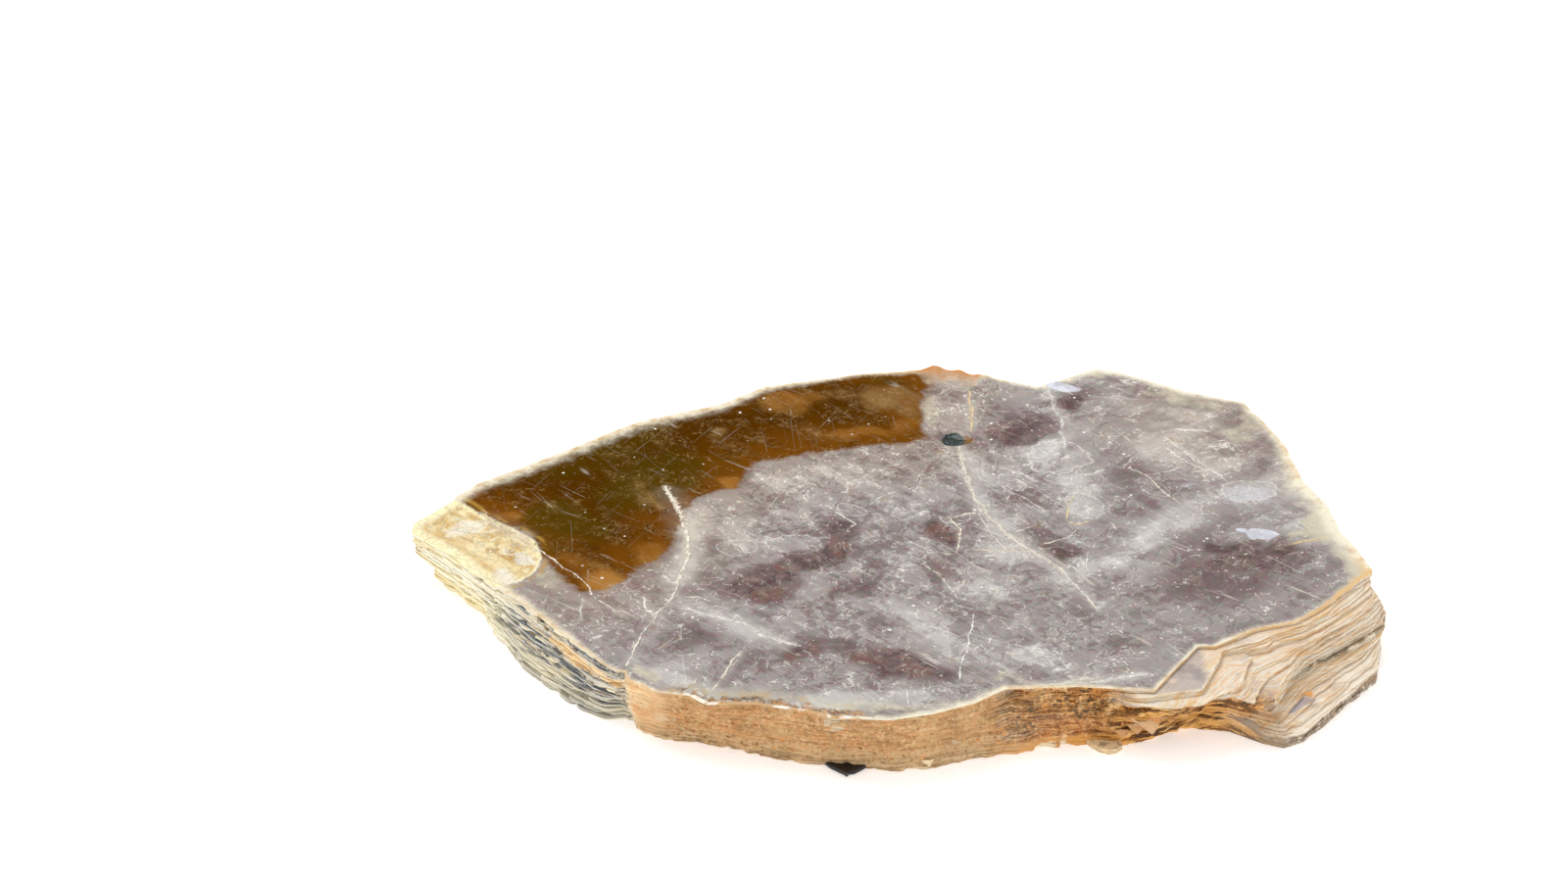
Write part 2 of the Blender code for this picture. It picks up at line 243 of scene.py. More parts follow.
pane_column = (degrees > 300) * ease(304.0, 309.0, degrees)  # 1 where a column ends in the panes
dice = random.Random(SHEAF_SEED)
weights = [dice.choice(SHEAF_WEIGHTS) for _ in range(SHEAVES - 2)]
between = TOP_SHEAF + np.cumsum(weights) / sum(weights) * (1 - TOP_SHEAF - LOWEST_SHEAF)
sheaf_tops = np.concatenate([[0.0, TOP_SHEAF], between, [1.0]])


def rust_above(depth):
    """Share of the rust left at a depth: none on the broken panes, over the shelf."""
    return 1 - pane_column * (depth < PANES_END)


def edge_habit(depth):
    """How far the edge strays at a depth: its waves, fibres, bites, lumps, crumbs and splits."""
    worn = rust * rust_above(depth)
    loose = 1 - np.maximum(clay, worn)
    waves = loose * (0.10 + 0.20 * cream + 0.16 * dark + 0.05 * terraces)
    waves = waves + 0.05 * worn + 0.02 * clay
    fibres = loose * (0.05 + 0.05 * (cream + dark)) + 0.015 * (worn + clay)
    bites = 0.30 * pale + 0.12 * worn + 0.12 * terraces + 0.35 * dark + 0.30 * cream
    lumps = 0.08 + 0.28 * clay + 0.50 * worn - 0.04 * terraces
    crumbs = 0.02 + 0.10 * clay + 0.24 * worn
    splits = 0.10 + 0.10 * (dark + cream + worn * (1 - terraces)) - 0.085 * terraces - 0.015 * clay
    return waves, fibres, bites, lumps, crumbs, splits


# The clay starts with a block that stands proud: how far, by direction.
CLAY_BLOCK = [(221.6, 0), (222.3, -0.45), (223.1, -0.1), (223.8, 0.35), (225.6, 0.25), (227, 0)]
clay_block = share_at(CLAY_BLOCK, directions)
sheaf_edges = []
for sheaf, top in enumerate(sheaf_tops[:-1]):
    shift = 0.035 * rough(rim_x, rim_y, sheaf * 31.0, 9.0) * (1 - 0.6 * clay)
    edge = stack_reach(np.clip(top + shift * (top > 0), 0, 1)) + clay_block
    calm = 0.4 if sheaf == 0 else 1.0
    waves, fibres, bites = edge_habit(top)[:3]
    edge = edge + calm * waves * rough(rim_x, rim_y, sheaf * 41.0, 4.5)
    edge = edge + calm * fibres * rough(rim_x, rim_y, sheaf * 17.0, 0.8)
    bite = ease(0.20, 0.32, rough(rim_x, rim_y, sheaf * 13.0 + 60.0, 2.2))
    ragged = np.maximum(rough(rim_x, rim_y, 77.0, 2.4) + 0.5 * rough(rim_x, rim_y, 83.0, 0.8), 0)
    gnawed = GNAWED * ragged * np.maximum(clay * 0.7, rust) * (1 - 0.6 * pane_column)
    sheaf_edges.append(edge - calm * bites * bite - gnawed * ease(0.80, 0.97, top))

split_backs = []
for sheaf in range(SHEAVES - 1):
    behind = np.minimum(sheaf_edges[sheaf], sheaf_edges[sheaf + 1])
    opening = 0.7 + 0.5 * rough(rim_x, rim_y, sheaf * 7.0, 3.0)
    packed = np.maximum(clay, rust * rust_above(sheaf_tops[sheaf]) * 0.95)
    splits = edge_habit(sheaf_tops[sheaf])[5]
    low_down = np.maximum(rust * 0.6, ease(0.55, 0.85, sheaf_tops[sheaf]))
    still_open = ease(0.16, 0.38, rough(rim_x, rim_y, sheaf * 5.0 + 3.0, 5.0)) * low_down * 0.8
    deep = splits * opening * (1 - packed * (1 - still_open))
    split_backs.append(behind - np.maximum(deep, SHALLOWEST_SPLIT))


def ring(out, depth, lift, to_edge, to_split):
    """One ring of points round the stack: x, y, z, the depth, and how far a point on a ledge lies
    from the ledge's edge and from the split behind it."""
    z = rim_height * (1 - depth) + lift
    x, y = out * ray_x, out * ray_y
    lumps, crumbling = edge_habit(depth)[3:5]
    lump = lumps * rough(x, y, z * 1.6, 2.2) + crumbling * rough(x, y, z * 1.3 + 9, 0.6)
    out = out + lump * ease(0.0, 0.06, np.full(COLUMNS, depth))
    marks = [np.broadcast_to(mark, COLUMNS) for mark in (rim_height * depth, to_edge, to_split)]
    return out * ray_x, out * ray_y, z, *marks


def sheaf_rings(sheaf):
    """A sheaf's edge: its upper corner, its lower corner and the back of the split under it."""
    top, foot = sheaf_tops[sheaf], sheaf_tops[sheaf + 1]
    upper = sheaf_edges[sheaf] - 0.02
    ledge = upper - split_backs[sheaf - 1] if sheaf else 9.0
    rings = [ring(upper, top, -LIP if sheaf else 0.0, 0.0, np.maximum(ledge, 0.02))]
    if sheaf == SHEAVES - 1:
        return rings + [ring(sheaf_edges[sheaf] - 0.05, foot, 0.0, 0.0, 1.0)]
    rings.append(ring(sheaf_edges[sheaf], foot, SPLIT, 0.0, 1.0))
    next_ledge = sheaf_edges[sheaf + 1] - split_backs[sheaf]
    rings.append(ring(split_backs[sheaf], foot, SPLIT * 0.4, next_ledge, 0.0))
    return rings


def set_attribute(mesh, name, values):
    """Stores an array of numbers, or of triples, on the mesh's points."""
    kind, key = ("FLOAT_VECTOR", "vector") if values.ndim == 2 else ("FLOAT", "value")
    stored = mesh.attributes.new(name, kind, "POINT")
    stored.data.foreach_set(key, np.ascontiguousarray(values, np.float32).ravel())


def to_frame(x, y, z):
    """Points of the plan in the frame's metres."""
    return np.stack([x - PLAN_MIDDLE[0], y - PLAN_MIDDLE[1], z], -1) * MM


def make_piece(name, points, faces, corner_uv, look, crease=40.0):
    """A mesh object with a pair of texture coordinates for each corner of each face."""
    mesh = bpy.data.meshes.new(name)
    mesh.from_pydata([tuple(point) for point in points], [], faces)
    layer = mesh.uv_layers.new(name="OFBake")
    layer.data.foreach_set("uv", np.ascontiguousarray(corner_uv, np.float32).ravel())
    mesh.shade_smooth()
    mesh.set_sharp_from_angle(angle=math.radians(crease))
    mesh.materials.append(look)
    piece = bpy.data.objects.new(name, mesh)
    bpy.context.scene.collection.objects.link(piece)
    return piece


def band_faces(count):
    """Faces between neighbouring rings, from the uppermost one down."""
    faces = []
    for start in range(0, (count - 1) * COLUMNS, COLUMNS):
        below = start + COLUMNS
        for column in range(COLUMNS):
            after = (column + 1) % COLUMNS
            faces.append((start + column, below + column, below + after, start + after))
    return faces


def band_uv(x, y, z, box, rows):
    """Texture coordinates that unroll the rings into rows, from the bottom of a box upwards."""
    left, low, right, high = box
    step = np.sqrt(np.diff(x, axis=0) ** 2 + np.diff(y, axis=0) ** 2 + np.diff(z, axis=0) ** 2)
    down = np.concatenate([np.zeros((1, COLUMNS)), np.cumsum(step, axis=0)])
    down = down / down[-1]
    down = np.concatenate([down, down[:, :1]], axis=1)
    per_row = COLUMNS // rows
    row_height = (high - low) / rows
    corners = []
    for level in range(len(x) - 1):
        for column in range(COLUMNS):
            row = min(column // per_row, rows - 1)
            foot = low + row * row_height + 0.04 * row_height
            tall = 0.92 * row_height
            u0 = left + (right - left) * (column - row * per_row) / per_row
            u1 = u0 + (right - left) / per_row
            for u, i, j in ((u0, 0, 0), (u0, 1, 0), (u1, 1, 1), (u1, 0, 1)):
                corners.append((u, foot + tall * (1 - down[level + i, column + j])))
    return corners


def fan_faces(start, hub, upward):
    """Triangles from a ring of points to one point in its middle."""
    faces = []
    for column in range(COLUMNS):
        after = (column + 1) % COLUMNS
        pair = (start + column, start + after) if upward else (start + after, start + column)
        faces.append((*pair, hub))
    return faces


def fan_uv(x, y, box, upward):
    """Texture coordinates of such a fan, shrunk into a box."""
    left, low, right, high = box
    u = left + (right - left) * (x + 50) / 100
    v = low + (high - low) * (y + 36) / 72
    hub = (left + (right - left) * 0.5, low + (high - low) * 0.5)
    corners = []
    for column in range(COLUMNS):
        after = (column + 1) % COLUMNS
        pair = (column, after) if upward else (after, column)
        corners += [*((u[end], v[end]) for end in pair), hub]
    return corners


class Signal:
    """An output of a shader node. Sums that are written with it become nodes themselves."""

    def __init__(self, recipe, socket):
        self.recipe = recipe
        self.socket = socket

    def work(self, operation, *operands):
        """A Math node where all is single values, and a Vector Math node where it isn't."""
        signals = [item for item in operands if isinstance(item, Signal)]
        single = all(item.socket.type == "VALUE" for item in signals)
        if single and not any(isinstance(item, tuple) for item in operands):
            return self.recipe.node("Math", {"operation": operation}, dict(enumerate(operands)))
        wide = [(item,) * 3 if isinstance(item, (int, float)) else item for item in operands]
        return self.recipe.node("VectorMath", {"operation": operation}, dict(enumerate(wide)))

    def __add__(self, other):
        return self.work("ADD", self, other)

    def __sub__(self, other):
        return self.work("SUBTRACT", self, other)

    def __rsub__(self, other):
        return self.work("SUBTRACT", other, self)

    def __mul__(self, other):
        return self.work("MULTIPLY", self, other)

    def __truediv__(self, other):
        return self.work("DIVIDE", self, other)

    def __abs__(self):
        return self.work("ABSOLUTE", self)

    __radd__ = __add__
    __rmul__ = __mul__

    def least(self, other):
        return self.work("MINIMUM", self, other)

    def most(self, other):
        return self.work("MAXIMUM", self, other)

    def ramp(self, low, high):
        """Smoothly from 0 at low to 1 at high; low may be the larger."""
        limits = {"Value": self, "From Min": low, "From Max": high}
        return self.recipe.node("MapRange", {"interpolation_type": "SMOOTHSTEP"}, limits)

    def band(self, middle, width):
        """1 at the middle value, falling to 0 this far from it."""
        return abs(self - middle).ramp(width, 0.0)

    def sway(self, amount):
        """A noise that swings about 0.5, made to swing about 0 by an amount."""
        return (self - 0.5) * amount

    def parts(self):
        """The three numbers of a vector."""
        node = self.recipe.tree.nodes.new("ShaderNodeSeparateXYZ")
        self.recipe.tree.links.new(self.socket, node.inputs[0])
        return [Signal(self.recipe, socket) for socket in node.outputs]


def paint(red, green, blue):
    """A colour as screens write it, 0 to 255, in the shader's linear light and opaque."""
    shares = [value / 255 for value in (red, green, blue)]
    light = [s / 12.92 if s <= 0.04045 else ((s + 0.055) / 1.055) ** 2.4 for s in shares]
    return (*light, 1.0)


class Recipe:
    """A material as it is written."""

    def __init__(self, name, **constants):
        self.material = bpy.data.materials.new(name)
        self.material.use_nodes = True
        self.tree = self.material.node_tree
        self.shader = self.tree.nodes["Principled BSDF"]
        for socket, value in constants.items():
            self.shader.inputs[socket.replace("_", " ")].default_value = value

    def node(self, kind, settings, values, output=0):
        """Adds a node: its settings first, and then its sockets' values and links."""
        made = self.tree.nodes.new("ShaderNode" + kind)
        for setting, value in settings.items():
            setattr(made, setting, value)
        for socket, value in values.items():
            if isinstance(value, Signal):
                self.tree.links.new(value.socket, made.inputs[socket])
            else:
                made.inputs[socket].default_value = value
        return Signal(self, made.outputs[output])

    def place(self):
        """The point being shaded, in millimetres."""
        return self.node("TexCoord", {}, {}, "Object") / MM

    def stored(self, name, output="Fac"):
        """What the mesh stores at its points under a name."""
        return self.node("Attribute", {"attribute_name": name}, {}, output)

    def grain(self, point, size, detail=2.0, roughness=0.5, distortion=0.0):
        """Noise about 0.5 at a point, in lumps this many millimetres wide."""
        settings = {"Vector": point, "Scale": 1 / size, "Detail": detail}
        settings |= {"Roughness": roughness, "Distortion": distortion}
        return self.node("TexNoise", {}, settings, "Fac")

    def mixed(self, base, over, share, blend="MIX"):
        """One colour over another, by a share. Each is a signal, or red, green and blue to 255."""
        base, over = [paint(*item) if isinstance(item, tuple) else item for item in (base, over)]
        kind = {"data_type": "RGBA", "blend_type": blend}
        return self.node("Mix", kind, {0: share, 6: base, 7: over}, 2)

    def coats(self, colour, *coats):
        """A colour under coats of others, each with its share and, if it isn't MIX, its blend."""
        for over, share, *blend in coats:
            colour = self.mixed(colour, over, share, *blend)
        return colour

    def finish(self, colour, roughness, coat, height, rise):
        """Joins the results to the shader. The height is in millimetres times the rise."""
        relief = self.node("Bump", {}, {"Height": height, "Distance": rise * MM, "Strength": 1.0})
        wanted = {"Base Color": colour, "Roughness": roughness, "Coat Weight": coat}
        for socket, signal in (wanted | {"Normal": relief}).items():
            self.tree.links.new(signal.socket, self.shader.inputs[socket])
        return self.material


def edge_material():
    """The weathered edge: split sheets, clay, rust, and the terraces' broken rims."""
    recipe = Recipe("weathered_edge", Specular_IOR_Level=0.15, Coat_Roughness=0.28, Coat_IOR=1.5)
    coats, mixed, grain = recipe.coats, recipe.mixed, recipe.grain
    point = recipe.place()
    cream_share, dark_share, clay_share = recipe.stored("weather", "Vector").parts()
    rust_share, terrace_share, _ = recipe.stored("iron", "Vector").parts()
    depth, slope, hollow = recipe.stored("bed", "Vector").parts()
    to_edge, to_split, _ = recipe.stored("ledge", "Vector").parts()
    x, y, _ = point.parts()
    drift = grain(point, 3.0, 1.0)
    split_share = (cream_share + dark_share).least(1.0)
    bed = depth + drift.sway(0.5 - split_share * 0.3) + slope * terrace_share * 0.9
    flat = recipe.node("CombineXYZ", {}, {"X": x, "Y": y, "Z": bed})
    along = 0.25 - split_share * 0.15

    def beds(run, thin, detail, roughness):
        run = along * run
        squeezed = recipe.node("CombineXYZ", {}, {"X": run, "Y": run, "Z": thin})
        return grain(flat * squeezed, 1.0, detail, roughness)

    lines = beds(1.0, 5.0, 3.0, 0.6)
    hairs = beds(2.4, 15.0, 2.0, 0.6)
    layers = beds(0.4, 2.0, 2.0, 0.5)
    crumbs = grain(point, 0.35, 4.0, 0.7)
    blots = grain(point, 1.3, 4.0, 0.6)
    patches = grain(point, 4.0, 3.0, 0.55)
    swirl = recipe.node("TexNoise", {}, {"Vector": point, "Scale": 1 / 1.6, "Detail": 3.0},
                        "Color")
    bent = (point + (swirl - (0.5, 0.5, 0.5)) * 3.0) * (1.0, 1.0, 1.7)
    cakes = grain(bent, 3.0, 2.0, 0.5)
    caked = cakes.ramp(0.455, 0.470) - cakes.ramp(0.525, 0.540)
    cake_rims = cakes.band(0.462, 0.009).most(cakes.band(0.532, 0.009))
    lumpy = grain(bent, 1.1, 3.0, 0.55)

    pale_col = coats(
        (238, 226, 196),
        ((214, 172, 118), lines.ramp(0.47, 0.62)),
        ((244, 242, 230), layers.ramp(0.50, 0.62)),
        ((160, 118, 74), hairs.ramp(0.60, 0.70) * 0.6),
    )

    cream_col = coats(
        (252, 242, 202),
        ((232, 206, 136), lines.ramp(0.50, 0.60)),
        ((255, 251, 232), layers.ramp(0.46, 0.58) * 0.85),
        ((150, 122, 76), hairs.ramp(0.59, 0.66) * 0.75),
        ((116, 108, 96), hairs.ramp(0.64, 0.70) * blots.ramp(0.50, 0.60)),
    )

    near_top = (depth + drift).band(0.8, 0.9) * 0.26 + (depth + drift).band(3.0, 1.0) * 0.18
    near_top = near_top - x.ramp(-34.0, -37.5) * 0.3
    blackness = (layers * 0.6 + blots * 0.7 + near_top).ramp(0.81, 0.90)
    rich_bed = (depth + drift).band(1.9, 0.9) * x.ramp(-36.0, -31.0) * (0.3 + blots * 1.1)
    low_grey = (depth + blots).ramp(4.2, 5.0) * (depth + blots).ramp(7.0, 6.4)
    low_grey = low_grey * lines.ramp(0.42, 0.49)
    dark_col = coats(
        (240, 228, 196),
        ((150, 152, 154), lines.ramp(0.44, 0.52)),
        ((98, 102, 110), lines.ramp(0.55, 0.61) * 0.8),
        ((44, 45, 52), blackness * crumbs.ramp(0.38, 0.50)),
        ((196, 158, 106), crumbs.ramp(0.56, 0.66) * blackness * 0.8),
        ((222, 188, 132), hairs.ramp(0.59, 0.66) * 0.6),
        ((244, 212, 160), (rich_bed + lumpy + crumbs * 0.6 - 0.8).ramp(0.41, 0.51) * 0.95),
        ((250, 247, 236), hairs.ramp(0.44, 0.37) * 0.9),
        ((226, 218, 190), (depth + blots).ramp(3.9, 5.0) * lines.ramp(0.62, 0.50) * 0.95),
        ((150, 148, 138), low_grey * 0.45),
        ((252, 246, 218), x.ramp(-36.0, -39.5) * (0.95 - lines.ramp(0.52, 0.60) * 0.55)),
    )

    corner = x.ramp(-20.0, -25.0)
    streak_bed = beds(1.6, 2.6, 4.0, 0.7)
    pocks = crumbs.ramp(0.60, 0.66) * (blots + (depth - 3.0) * 0.03).ramp(0.50, 0.60)
    seams = lines.ramp(0.61, 0.67) * patches.ramp(0.50, 0.58)
    near_foot = depth.ramp(4.4, 6.0) * (lines + blots * 0.6).ramp(0.76, 0.86)
    clay_col = coats(
        (203, 161, 110),
        ((188, 144, 94), patches.ramp(0.48, 0.58)),
        ((216, 156, 104), caked * 0.7),
        ((168, 122, 74), lumpy.ramp(0.54, 0.64) * 0.6),
        ((228, 194, 146), lumpy.ramp(0.44, 0.36) * 0.6),
        ((240, 214, 172), crumbs.ramp(0.56, 0.66) * 0.6),
        ((138, 98, 60), crumbs.ramp(0.43, 0.34) * 0.65),
        ((112, 76, 46), cake_rims * crumbs.ramp(0.62, 0.46) * 0.6),
        ((214, 202, 176), (patches + lumpy * 0.6).ramp(0.96, 1.02) * 0.8),
        ((250, 222, 176), corner * (0.5 + lumpy * 0.8).least(1.0) * 0.95),
        ((226, 162, 102), corner * (patches + crumbs * 0.3).ramp(0.64, 0.72) * 0.6),
        ((150, 106, 62), streak_bed.ramp(0.56, 0.64) * (1.0 - corner) * crumbs.ramp(0.60, 0.48)
         * 0.75),
        ((222, 178, 120), streak_bed.ramp(0.44, 0.37) * 0.6),
        ((104, 76, 48), pocks * (1.0 - corner * 0.6) * 0.8),
        ((126, 90, 56), seams * 0.6),
        ((220, 188, 142), (depth + blots).ramp(4.2, 5.2) * crumbs.ramp(0.40, 0.50) * 0.7),
        ((84, 66, 50), near_foot * 0.45),
        ((238, 222, 188), depth.ramp(5.6, 6.3) * lines.ramp(0.50, 0.42) * 0.7),
    )

    # Rust: flaky brown beds above, orange grains below, and a golden hem with a cream underside.
    jumbled = flat * (0.55, 0.55, 1.3) + (swirl - (0.5, 0.5, 0.5)) * 1.5
    rust_bed = grain(jumbled, 1.0, 5.0, 0.72)
    rust_seams = grain(flat * (0.30, 0.30, 1.1), 1.0, 4.0, 0.6)
    low = (depth + blots.sway(2.4)).ramp(2.4, 3.8)
    chunks = grain(bent, 1.2, 4.0, 0.72)
    flaky = coats(
        (206, 138, 66),
        ((168, 118, 64), patches.ramp(0.46, 0.56)),
        ((238, 184, 108), rust_bed.ramp(0.47, 0.40) * 0.85),
        ((122, 72, 34), rust_bed.ramp(0.53, 0.61) * 0.85),
        ((104, 52, 18), rust_seams.band(0.52, 0.016) * crumbs.ramp(0.60, 0.48) * 0.9),
        ((248, 214, 160), (rust_bed + crumbs * 0.5).ramp(0.66, 0.60) * 0.7),
        ((78, 50, 28), chunks.ramp(0.54, 0.585) * crumbs.ramp(0.62, 0.50) * 0.9),
        ((248, 206, 146), chunks.ramp(0.445, 0.41) * 0.85),
    )
    grains = coats(
        (212, 146, 82),
        ((170, 108, 54), lumpy.ramp(0.48, 0.58)),
        ((236, 180, 120), lumpy.ramp(0.45, 0.38) * 0.8),
        ((252, 226, 184), crumbs.ramp(0.57, 0.64) * 0.85),
        ((124, 78, 42), crumbs.ramp(0.43, 0.34) * 0.7),
    )
    scorched = (patches + blots * 0.8).ramp(0.86, 0.79) * (depth + drift * 2.0).band(4.0, 2.8)
    hem = (depth + blots.sway(0.9)).ramp(5.3, 5.7)
    rust_col = coats(
        flaky,
        (grains, low * 0.85),
        ((70, 64, 54), scorched * crumbs.ramp(0.60, 0.48) * 0.9),
        ((96, 58, 28), cake_rims * crumbs.ramp(0.60, 0.46) * 0.5),
        ((230, 168, 84), hem * 0.85),
        ((246, 230, 192), hem * (depth + (crumbs - 0.5)).ramp(5.95, 6.2)
         * patches.ramp(0.46, 0.54)),
    )

    # Broken ledges: lilac-grey inside, partly their own colour and partly a painted whitish sheen
    # as on the top face, with cream and orange lines along their edges.
    cloud = (patches + blots * 0.5 + x.ramp(39.0, 34.0) * 0.12).ramp(0.72, 0.90)
    at_rim = (to_edge + blots.sway(0.8)).ramp(0.30, 0.02)
    ledge_bed = depth + drift.sway(0.8)
    greyish = ledge_bed.band(2.5, 1.0) * x.ramp(37.0, 40.0)
    rusted = (blots * 0.6 + patches * 0.5 + ledge_bed.band(1.7, 0.9) * 0.12).ramp(0.50, 0.60)
    tread_col = mixed((204, 189, 176), (234, 222, 204), cloud)
    rim_col = mixed((250, 242, 220), (238, 196, 134), (layers + blots * 0.4).ramp(0.68, 0.78))
    fibrous = beds(1.0, 7.0, 3.0, 0.65)
    dark_bed = (ledge_bed + (x - 40.0) * -0.05).band(3.4, 0.38)
    dark_bed = dark_bed * (lines * 0.5 + blots * 0.5).ramp(0.40, 0.50) * x.ramp(36.5, 39.0)
    paned = (abs(x - 25.6) / 3.6 + crumbs.sway(0.4)).ramp(1.1, 0.8) * ledge_bed.ramp(0.62, 0.45)
    tan_bed = ledge_bed.band(4.1, 0.7) * lines.ramp(0.44, 0.56)
    foot_bed = ledge_bed.ramp(4.6, 4.9) * patches.ramp(0.62, 0.50)
    mauve = (abs(x - 37.4) / 2.6 + abs(y + 24.6 - (x - 37.4) * 0.6) / 1.3
             + (crumbs - 0.5)).ramp(1.05, 0.85)
    under_foot = ledge_bed.ramp(5.3, 5.8) * crumbs.ramp(0.66, 0.50)
    terrace_col = coats(
        tread_col,
        (rim_col, at_rim * (0.85 - greyish * 0.35)),
        ((222, 152, 82), fibrous.ramp(0.55, 0.61) * rusted * 0.85),
        ((238, 206, 152), lines.ramp(0.54, 0.60) * (1.0 - greyish * 0.6) * 0.7),
        ((172, 158, 146), fibrous.ramp(0.46, 0.39) * (0.25 + greyish * 0.5)),
        ((246, 238, 220), lines.ramp(0.45, 0.38) * 0.6),
        ((190, 160, 122), fibrous.band(0.50, 0.02) * 0.6),
        ((224, 164, 98), hairs.ramp(0.57, 0.63) * (1.0 - greyish) * 0.5),
        ((250, 240, 220), hairs.ramp(0.43, 0.37) * 0.6),
        ((96, 90, 84), greyish * crumbs.ramp(0.63, 0.70) * 0.7),
        (mixed((146, 136, 136), (178, 167, 162), cloud), paned * (1.0 - at_rim) * 0.8),
        ((92, 78, 58), dark_bed * 0.85),
        ((216, 182, 136), tan_bed * 0.7),
        ((246, 236, 218), foot_bed * (1.0 - lines.ramp(0.5, 0.6) * 0.5) * 0.8),
        ((182, 172, 174), mauve * (ledge_bed).ramp(4.2, 4.5)),
        ((112, 88, 62), under_foot * 0.85),
    )

    colour = coats(
        pale_col,
        (clay_col, clay_share),
        (cream_col, cream_share),
        (dark_col, dark_share),
        (terrace_col, terrace_share),
        (rust_col, rust_share),
    )
    # Under the shelf the beds arch up, golden and black by turns, down to the grey toe.
    arch = x.band(31.0, 6.5) * 1.5
    squeezed = recipe.node("CombineXYZ", {},
                           {"X": x * 0.3, "Y": y * 0.1, "Z": (depth + arch) * 1.9})
    arched = grain(squeezed, 1.0, 4.0, 0.65)
    fine_arched = grain(squeezed * (2.0, 2.0, 3.0), 1.0, 3.0, 0.65)
    toe = x.ramp(33.0, 35.5)
    shade_col = coats(
        (236, 182, 104),
        ((150, 98, 46), arched.ramp(0.45, 0.51)),
        ((84, 64, 42), arched.ramp(0.50, 0.56) * fine_arched.ramp(0.34, 0.46) * 0.9),
        ((252, 216, 150), fine_arched.ramp(0.56, 0.62) * arched.ramp(0.54, 0.46)),
        ((120, 66, 26), fine_arched.ramp(0.42, 0.35) * 0.7),
        (mixed((176, 160, 134), (84, 76, 64), crumbs.ramp(0.48, 0.56)), toe * 0.75),
    )
    # Painted shade: a brown multiply darkens each ledge close to the split behind it, where shade
    # falls into the split.
    groove = to_split.ramp(0.22, 0.02) * (1.0 - clay_share * 0.6)
    groove = groove * (1.0 - terrace_share * 0.7) * (1.0 - cream_share * 0.4)
    colour = coats(
        colour,
        (shade_col, hollow),
        ((150, 118, 88), groove * 0.6, "MULTIPLY"),
    )

    roughness = 0.5 + 0.35 * clay_share.most(rust_share) + 0.1 * crumbs
    coat = (cream_share + dark_share + terrace_share).least(1.0) * 0.35
    coarse = clay_share.most(rust_share)
    height = crumbs * (0.06 + coarse * 0.16) + hairs * 0.05 * (1.0 - coarse) + blots * coarse * 0.2
    return recipe.finish(colour, roughness, coat, height, 0.6)


def hidden_ring(sheaf):
    """The ring where a sheaf's ledge passes in under the sheaf above it."""
    behind = split_backs[sheaf - 1] - 0.5
    return ring(behind, sheaf_tops[sheaf], -LIP, sheaf_edges[sheaf] - behind, 0.5)


HOLLOW = [(0, 0), (303, 0), (309, 1), (320.5, 1), (324, 0)]
toe_end = 1 - (degrees > 300) * ease(319.0, 322.5, degrees)  # the foremost sheets are clean again


def store_weather(piece, rings, hubs):
    """Keeps what the edge's material needs at each point, the hubs after the rings."""
    x, y, z, depth, to_edge, to_split = rings
    around = [np.broadcast_to(item, x.shape) for item in (cream, dark, clay, rust, terraces, pale)]
    under = share_at(HOLLOW, directions) * ease(1.9, 2.3, depth)
    around[3] = around[3] * (1 - pane_column * (depth < 1.75)) * np.where(depth < 4.3, 1, toe_end)
    slope = np.hypot(x, y) - level_reach[0]
    groups = {"weather": around[:3], "iron": around[3:], "bed": [depth, slope, under],
              "ledge": [to_edge, to_split, 0 * depth]}
    for name, arrays in groups.items():
        values = np.stack([array.ravel() for array in arrays], -1)
        set_attribute(piece.data, name, np.concatenate([values, np.zeros((hubs, 3))]))


def stack_rings(rings):
    """Rings as six arrays, one row for each ring."""
    return [np.array(rows) for rows in zip(*rings)]


def hub(ring_z, sink=0.0):
    """The point in the middle of a ring that closes it off."""
    return to_frame(np.zeros(1), np.zeros(1), np.array([ring_z.mean() - sink]))


HUB_SINK = 2.5  # how far the hidden faces sink in the middle, to clear the pit in the top face
STACK_ROWS = 5  # rows that the edge's texture is cut into
UPPER_FAN_BOX, LOWER_FAN_BOX = (0.01, 0.005, 0.30, 0.125), (0.35, 0.005, 0.64, 0.125)
edge_look = edge_material()
rings = [hidden_ring(1)]
for sheaf in range(1, SHEAVES - 1):
    rings += sheaf_rings(sheaf)
stack = stack_rings(rings)
x, y, z = stack[:3]
in_rings = to_frame(x.ravel(), y.ravel(), z.ravel())
points = np.concatenate([in_rings, hub(z[0], HUB_SINK), hub(z[-1])])
faces = fan_faces(0, x.size, True) + band_faces(len(x))
faces += fan_faces(x.size - COLUMNS, x.size + 1, False)
corner_uv = fan_uv(x[0], y[0], UPPER_FAN_BOX, True)
corner_uv += band_uv(x, y, z, (0.0, 0.135, 1.0, 1.0), STACK_ROWS)
corner_uv += fan_uv(x[-1], y[-1], LOWER_FAN_BOX, False)
sheet_stack = make_piece("sheet_stack", points, faces, corner_uv, edge_look)
store_weather(sheet_stack, stack, 2)
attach(sheet_stack, "root")
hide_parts("mica_book")

# ---------------------------------------------------------------------------------------------
# The lowest sheaf, with the cleavage face that the book lies on. It parted from the rock, so it
# is dull and clay-stained, with a few crystals' prints and the ends of sheets in broad steps.
# ---------------------------------------------------------------------------------------------
FOOT_GRID, FOOT_WANDER, FOOT_SEED = 1.1, 0.3, 4  # spacing of its points, and how they are strewn
FOOT_MARGIN = 0.5
FOOT_RELIEF = 0.10
FOOT_STEP_RISE = 0.12
FOOT_STEPS = [
    [(-30, -30), (-16, -14), (-12, -2), (-17, 9), (-12, 22), (-6, 36)],
    [(36, -36), (26, -15), (29, -2), (22, 8), (26, 22), (20, 36)],
]


